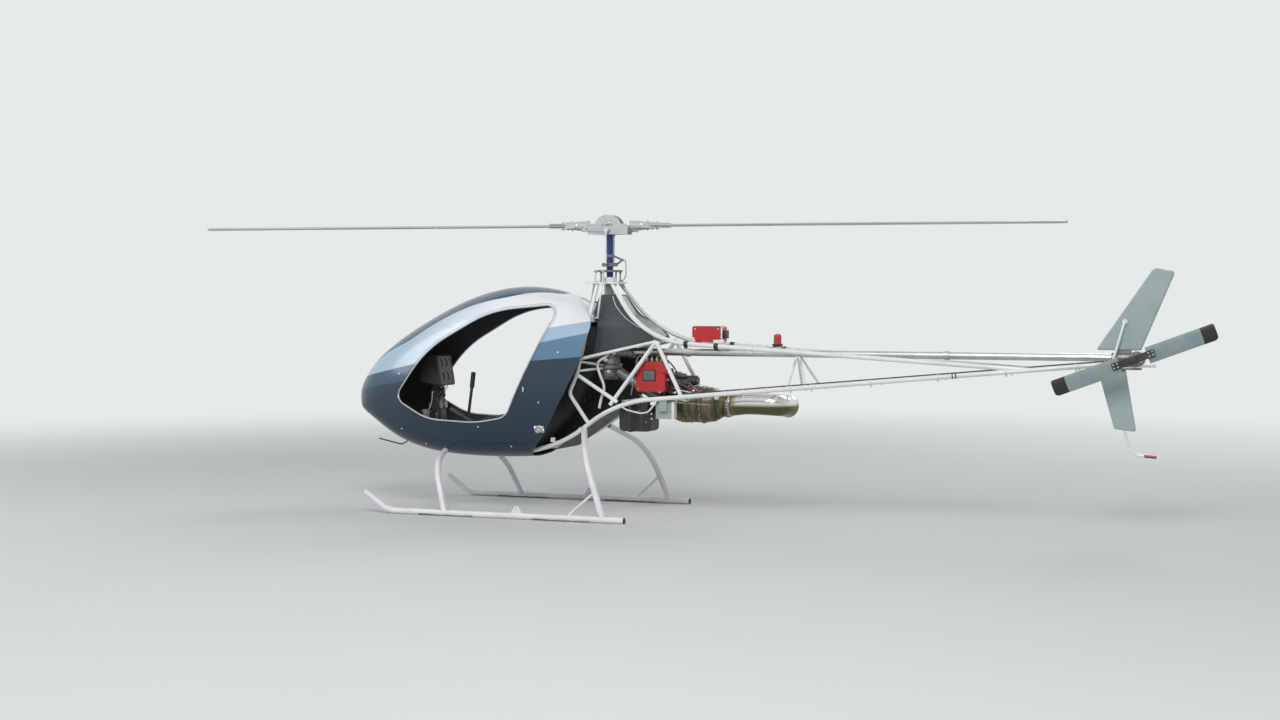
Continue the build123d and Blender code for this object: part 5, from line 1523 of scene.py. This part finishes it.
def makeControlRods(look):
    rods, steel = bmesh.new(), bmesh.new()
    for side in (-1, 1):
        top = at(look["sideTop"][0], side * look["sideTop"][1], look["ringZ"] - 4)
        foot = at(look["sideFoot"][0], side * look["sideFoot"][1], look["sideFoot"][2])
        addRod(rods, foot, top, look["radius"])
        addEye(steel, top + Vector((0, 0, 0.010)), (1, 0, 0), look["endRadius"], 0.012)
        addEye(steel, foot, (1, 0, 0), look["endRadius"], 0.014)
        addBlock(steel, at(-11, min(side * 84, side * look["earReach"]), look["ringZ"]),
                 at(11, max(side * 84, side * look["earReach"]), look["ringZ"] + 13), bevel=0.002)
        post = at(look["postClamp"][0], side * look["postClamp"][1], look["postClamp"][2])
        addRod(steel, post, foot + Vector((0, 0, -0.002)), 0.007)
        addDisc(steel, post - Vector((0, 0, 0.013)),
        (0.09, side * -0.28, 1), 0.021, 0.026, bevel=0.002, sides=28)
    top = at(look["frontTop"][0] - 24, look["frontTop"][1], look["ringZ"] - 4)
    foot = at(*look["frontFoot"])
    addRod(rods, foot, top, look["radius"])
    addEye(steel, top + Vector((0, 0, 0.010)), (0, 1, 0), look["endRadius"], 0.012)
    addEye(steel, foot, (0, 1, 0), look["endRadius"], 0.014)
    addBlock(steel, at(-122, -11, look["ringZ"]), at(-84, 11, look["ringZ"] + 13), bevel=0.002)
    addRod(steel, at(-96, -104, 1500), at(-96, 104, 1500), 0.008)
    addRod(steel, at(-96, 0, 1500), foot, 0.007)
    finishPiece("controlRods", rods, "rodPaint")
    finishPiece("rodEnds", steel, "boltSteel")


makeControlRods(rodLook)

mastLines = [
    # name, surface, radius mm, design points
    ("driveArm", "steelLine", 4.5, [(84, 0, 1650), (100, 0, 1654), (121, 0, 1682), (125, 0, 1720),
                                    (124, 0, 1760), (117, 0, 1801)]),
    ("drainHose", "hoseWhite", 10, [(34, -112, 1150), (34, -112, 1122), (-40, -154, 1080),
                                    (-12, -176, 1000), (42, -192, 900),
                                    (18, -212, 830), (14, -236, 756)]),
    ("batteryLead", "hoseWhite", 6, [(190, -254, 774), (216, -256, 752), (286, -259, 738), (350, -259, 726),
                                     (408, -256, 748),
                                     (450, -242, 824)]),
]
runLines(mastLines, sides=4)


def makeVent(rows, radius):
    # the vent tube lies along the tank's port face
    points = []
    for x, z in rows:
        place, normal = onSide("fuel_tank", x, z, -1)
        points.append(place + normal * radius)
    curvedTube("ventTube", points, radius, "steelLine", sides=4)


makeVent([(60, 1540), (80, 1490), (112, 1450), (172, 1392), (236, 1350), (292, 1322)], 0.0045)

tailCable = {"from": 640, "to": 3480, "lift": 0.021, "inward": 0.008, "radius": 0.0042, "steps": 12}


def makeTailCable(look):
    points = []
    for index in range(look["steps"] + 1):
        x = look["from"] + (look["to"] - look["from"]) * index / look["steps"]
        points.append(onLine(lowerPort, x, -1) + Vector((0, look["inward"], look["lift"])))
    tubeAlong("tailCable", points, look["radius"], "braidDark")


makeTailCable(tailCable)
print("control rods and lines run")


# ---- engine bay: a black tray under the gearbox with its starboard wall
trayLook = {
    "bottom": [(-330, 452), (-190, 550), (-35, 661), (60, 722),
               (138, 758)],  # design x, z along the lower tubes
    "wall": [(193, 900), (300, 1048), (330, 1110), (316, 1172), (120, 1130), (-112, 1080), (-140, 990),
             (-196, 860), (-310, 760)],
    "halfWidth": 198,
    "taper": 0.06,
    "thickness": 0.0025,
    "rivetGap": 0.055,
}


def makeTray(look):
    def edge(x, z, side):
        return at(x, side * (look["halfWidth"] - look["taper"] * x), z)

    shape = bmesh.new()
    low = [shape.verts.new(edge(x, z, 1)) for x, z in look["bottom"]]
    near = [shape.verts.new(edge(x, z, -1)) for x, z in look["bottom"]]
    for index in range(len(low) - 1):
        shape.faces.new((low[index], low[index + 1], near[index + 1], near[index]))
    shape.faces.new(low + [shape.verts.new(edge(x, z, 1)) for x, z in look["wall"]])
    bmesh.ops.recalc_face_normals(shape, faces=shape.faces)
    bmesh.ops.solidify(shape, geom=list(shape.faces), thickness=look["thickness"])
    finishPiece("bayTray", shape, "blackPlastic", smooth=False)
    rivets = bmesh.new()
    rim = look["bottom"] + look["wall"]
    for first, last in zip(rim, rim[1:]):
        start, end = edge(*first, 1), edge(*last, 1)
        count = max(1, round((end - start).length / look["rivetGap"]))
        for index in range(count):
            place = start.lerp(end, (index + 0.5) / count)
            middle = edge(60, 900, 1)
            place += (middle - place).normalized() * 0.012
            addRivet(rivets, place + Vector((0, 0.0022, 0)), (0, 1, 0), 0.0042)
            addRivet(rivets, place - Vector((0, 0.0022, 0)), (0, -1, 0), 0.0042)
    finishPiece("trayRivets", rivets, "boltSteel")


makeTray(trayLook)

bracketLook = {
    # surface, low corner, high corner in design mm
    "topBoxFront": ("catchWhite", (634, -74, 1222), (666, -50, 1258)),
    "topBoxRear": ("catchWhite", (806, -80, 1214), (884, -66, 1242)),
    "topBoxStrip": ("catchWhite", (857, -69, 1238), (866, -48, 1328)),
    "topBoxPlug": ("blackPlastic", (857, -40, 1250), (884, 40, 1308)),
    "greyBoxBracket": ("catchWhite", (547, -217, 692), (566, -150, 812)),
    "batteryMarkUpper": ("catchWhite", (386, -200, 716), (398, -190, 728)),
    "batteryMarkLower": ("catchWhite", (386, -200, 682), (398, -190, 694)),
    "keelBracket": ("catchWhite", (-362, -236, 506), (-332, -206, 538)),
}


def makeBrackets(look):
    for name, (surface, low, high) in look.items():
        shape = bmesh.new()
        addBlock(shape, at(*low), at(*high), bevel=0.003)
        finishPiece(name, shape, surface)
    fittings = bmesh.new()
    for x, y, z in ((14, -96, 1091), (76, -92, 1142), (40, -104, 1010)):
        place = at(x, y, z)
        addDisc(fittings, place, (0, -1, 0), 0.014, 0.020, bevel=0.002, sides=6)
        addDisc(fittings, place + Vector((0, -0.018, 0)), (0, -1, 0), 0.009, 0.018, bevel=0.002, sides=20)
    for x, z in ((211, 1497), (338, 1386)):
        boltOn(fittings, "upper_longeron_port", at(x, -1500, z), (0, 1, 0), None, 0.008)
    cone = at(845, -118, 838)
    bmesh.ops.create_cone(fittings, cap_ends=True, segments=24, radius1=0.019, radius2=0.011, depth=0.040,
                          matrix=Matrix.Translation(cone) @ turnTo((0.3, -1, -0.2)))
    finishPiece("paleFittings", fittings, "catchWhite")


makeBrackets(bracketLook)
print("tray and brackets fitted")


# ---- floor, lamps and sky
stageLook = {
    "floor": (0.60, 0.61, 0.60),
    "seen": (0.80, 0.82, 0.82),
    "floorRadius": 60.0,
    "worldStrength": 0.42,
    "fadeStart": 4.5,
    "fadeEnd": 13.0,
}


def anyRay(tree):
    # 1 for rays from the camera and those that gloss and glass send on
    rays = tree.nodes.new("ShaderNodeLightPath")
    value = rays.outputs["Is Camera Ray"]
    for kind in ("Is Glossy Ray", "Is Transmission Ray"):
        value = mathNode(tree, "MAXIMUM", value, rays.outputs[kind])
    return value


def makeFloor(look):
    mesh = bpy.data.meshes.new("studioFloor")
    shape = bmesh.new()
    bmesh.ops.create_grid(shape, x_segments=1, y_segments=1, size=look["floorRadius"])
    shape.to_mesh(mesh)
    shape.free()
    floor = addObject("studioFloor", mesh)
    material = bpy.data.materials.new("studioFloor")
    material.use_nodes = True
    tree = material.node_tree
    shader = tree.nodes["Principled BSDF"]
    shader.inputs["Roughness"].default_value = 0.85
    patches = useGroup(tree, patchGroup, Scale=0.6, Low=0.3, High=0.8)
    pale = look["floor"]
    colour = mixColour(tree, patches.outputs["Mask"], pale, tuple(0.97 * value for value in pale))
    addLink(tree, colour, shader.inputs["Base Color"])
    # away from the object, and only to the camera and in gloss and glass, the floor turns into the backdrop
    glow = tree.nodes.new("ShaderNodeEmission")
    glow.inputs["Color"].default_value = (*look["seen"], 1.0)
    distance = tree.nodes.new("ShaderNodeVectorMath")
    distance.operation = "LENGTH"
    addLink(tree, objectCoords(tree), distance.inputs[0])
    far = rangeNode(tree, distance.outputs["Value"], (look["fadeStart"], look["fadeEnd"]), kind="SMOOTHSTEP")
    share = mathNode(tree, "MULTIPLY", far, anyRay(tree))
    blend = tree.nodes.new("ShaderNodeMixShader")
    addLink(tree, share, blend.inputs[0])
    addLink(tree, shader.outputs[0], blend.inputs[1])
    addLink(tree, glow.outputs[0], blend.inputs[2])
    addLink(tree, blend.outputs[0], tree.nodes["Material Output"].inputs["Surface"])
    mesh.materials.append(material)


def makeLamp(name, place, target, size, power):
    data = bpy.data.lights.new(name, "AREA")
    data.shape = "DISK"
    data.size = size
    data.energy = power
    lamp = addObject(name, data)
    lamp.location = place
    lamp.rotation_euler = (Vector(target) - Vector(place)).to_track_quat("-Z", "Y").to_euler()


def makeWorld(look):
    world = bpy.data.worlds.new("studioSky")
    bpy.context.scene.world = world
    world.use_nodes = True
    tree = world.node_tree
    background = tree.nodes["Background"]
    background.inputs["Color"].default_value = (0.93, 0.95, 1.0, 1.0)
    background.inputs["Strength"].default_value = look["worldStrength"]
    seen = tree.nodes.new("ShaderNodeBackground")
    seen.inputs["Color"].default_value = (*look["seen"], 1.0)
    seen.inputs["Strength"].default_value = 1.0
    blend = tree.nodes.new("ShaderNodeMixShader")
    addLink(tree, anyRay(tree), blend.inputs[0])
    addLink(tree, background.outputs[0], blend.inputs[1])
    addLink(tree, seen.outputs[0], blend.inputs[2])
    addLink(tree, blend.outputs[0], tree.nodes["World Output"].inputs["Surface"])


makeFloor(stageLook)
makeWorld(stageLook)
lamps = [
    # name, place, target, size, power
    ("keyLamp", (2.5, -9.0, 8.0), (0, 0, 1.0), 5.0, 620),
    ("fillLamp", (-8.0, -5.0, 5.0), (0, 0, 1.0), 5.0, 240),
    ("rimLamp", (3.0, 9.0, 7.0), (0, 0, 1.2), 5.0, 320),
]
for lamp in lamps:
    makeLamp(*lamp)
bpy.context.scene.view_settings.view_transform = "Standard"
print("stage set")
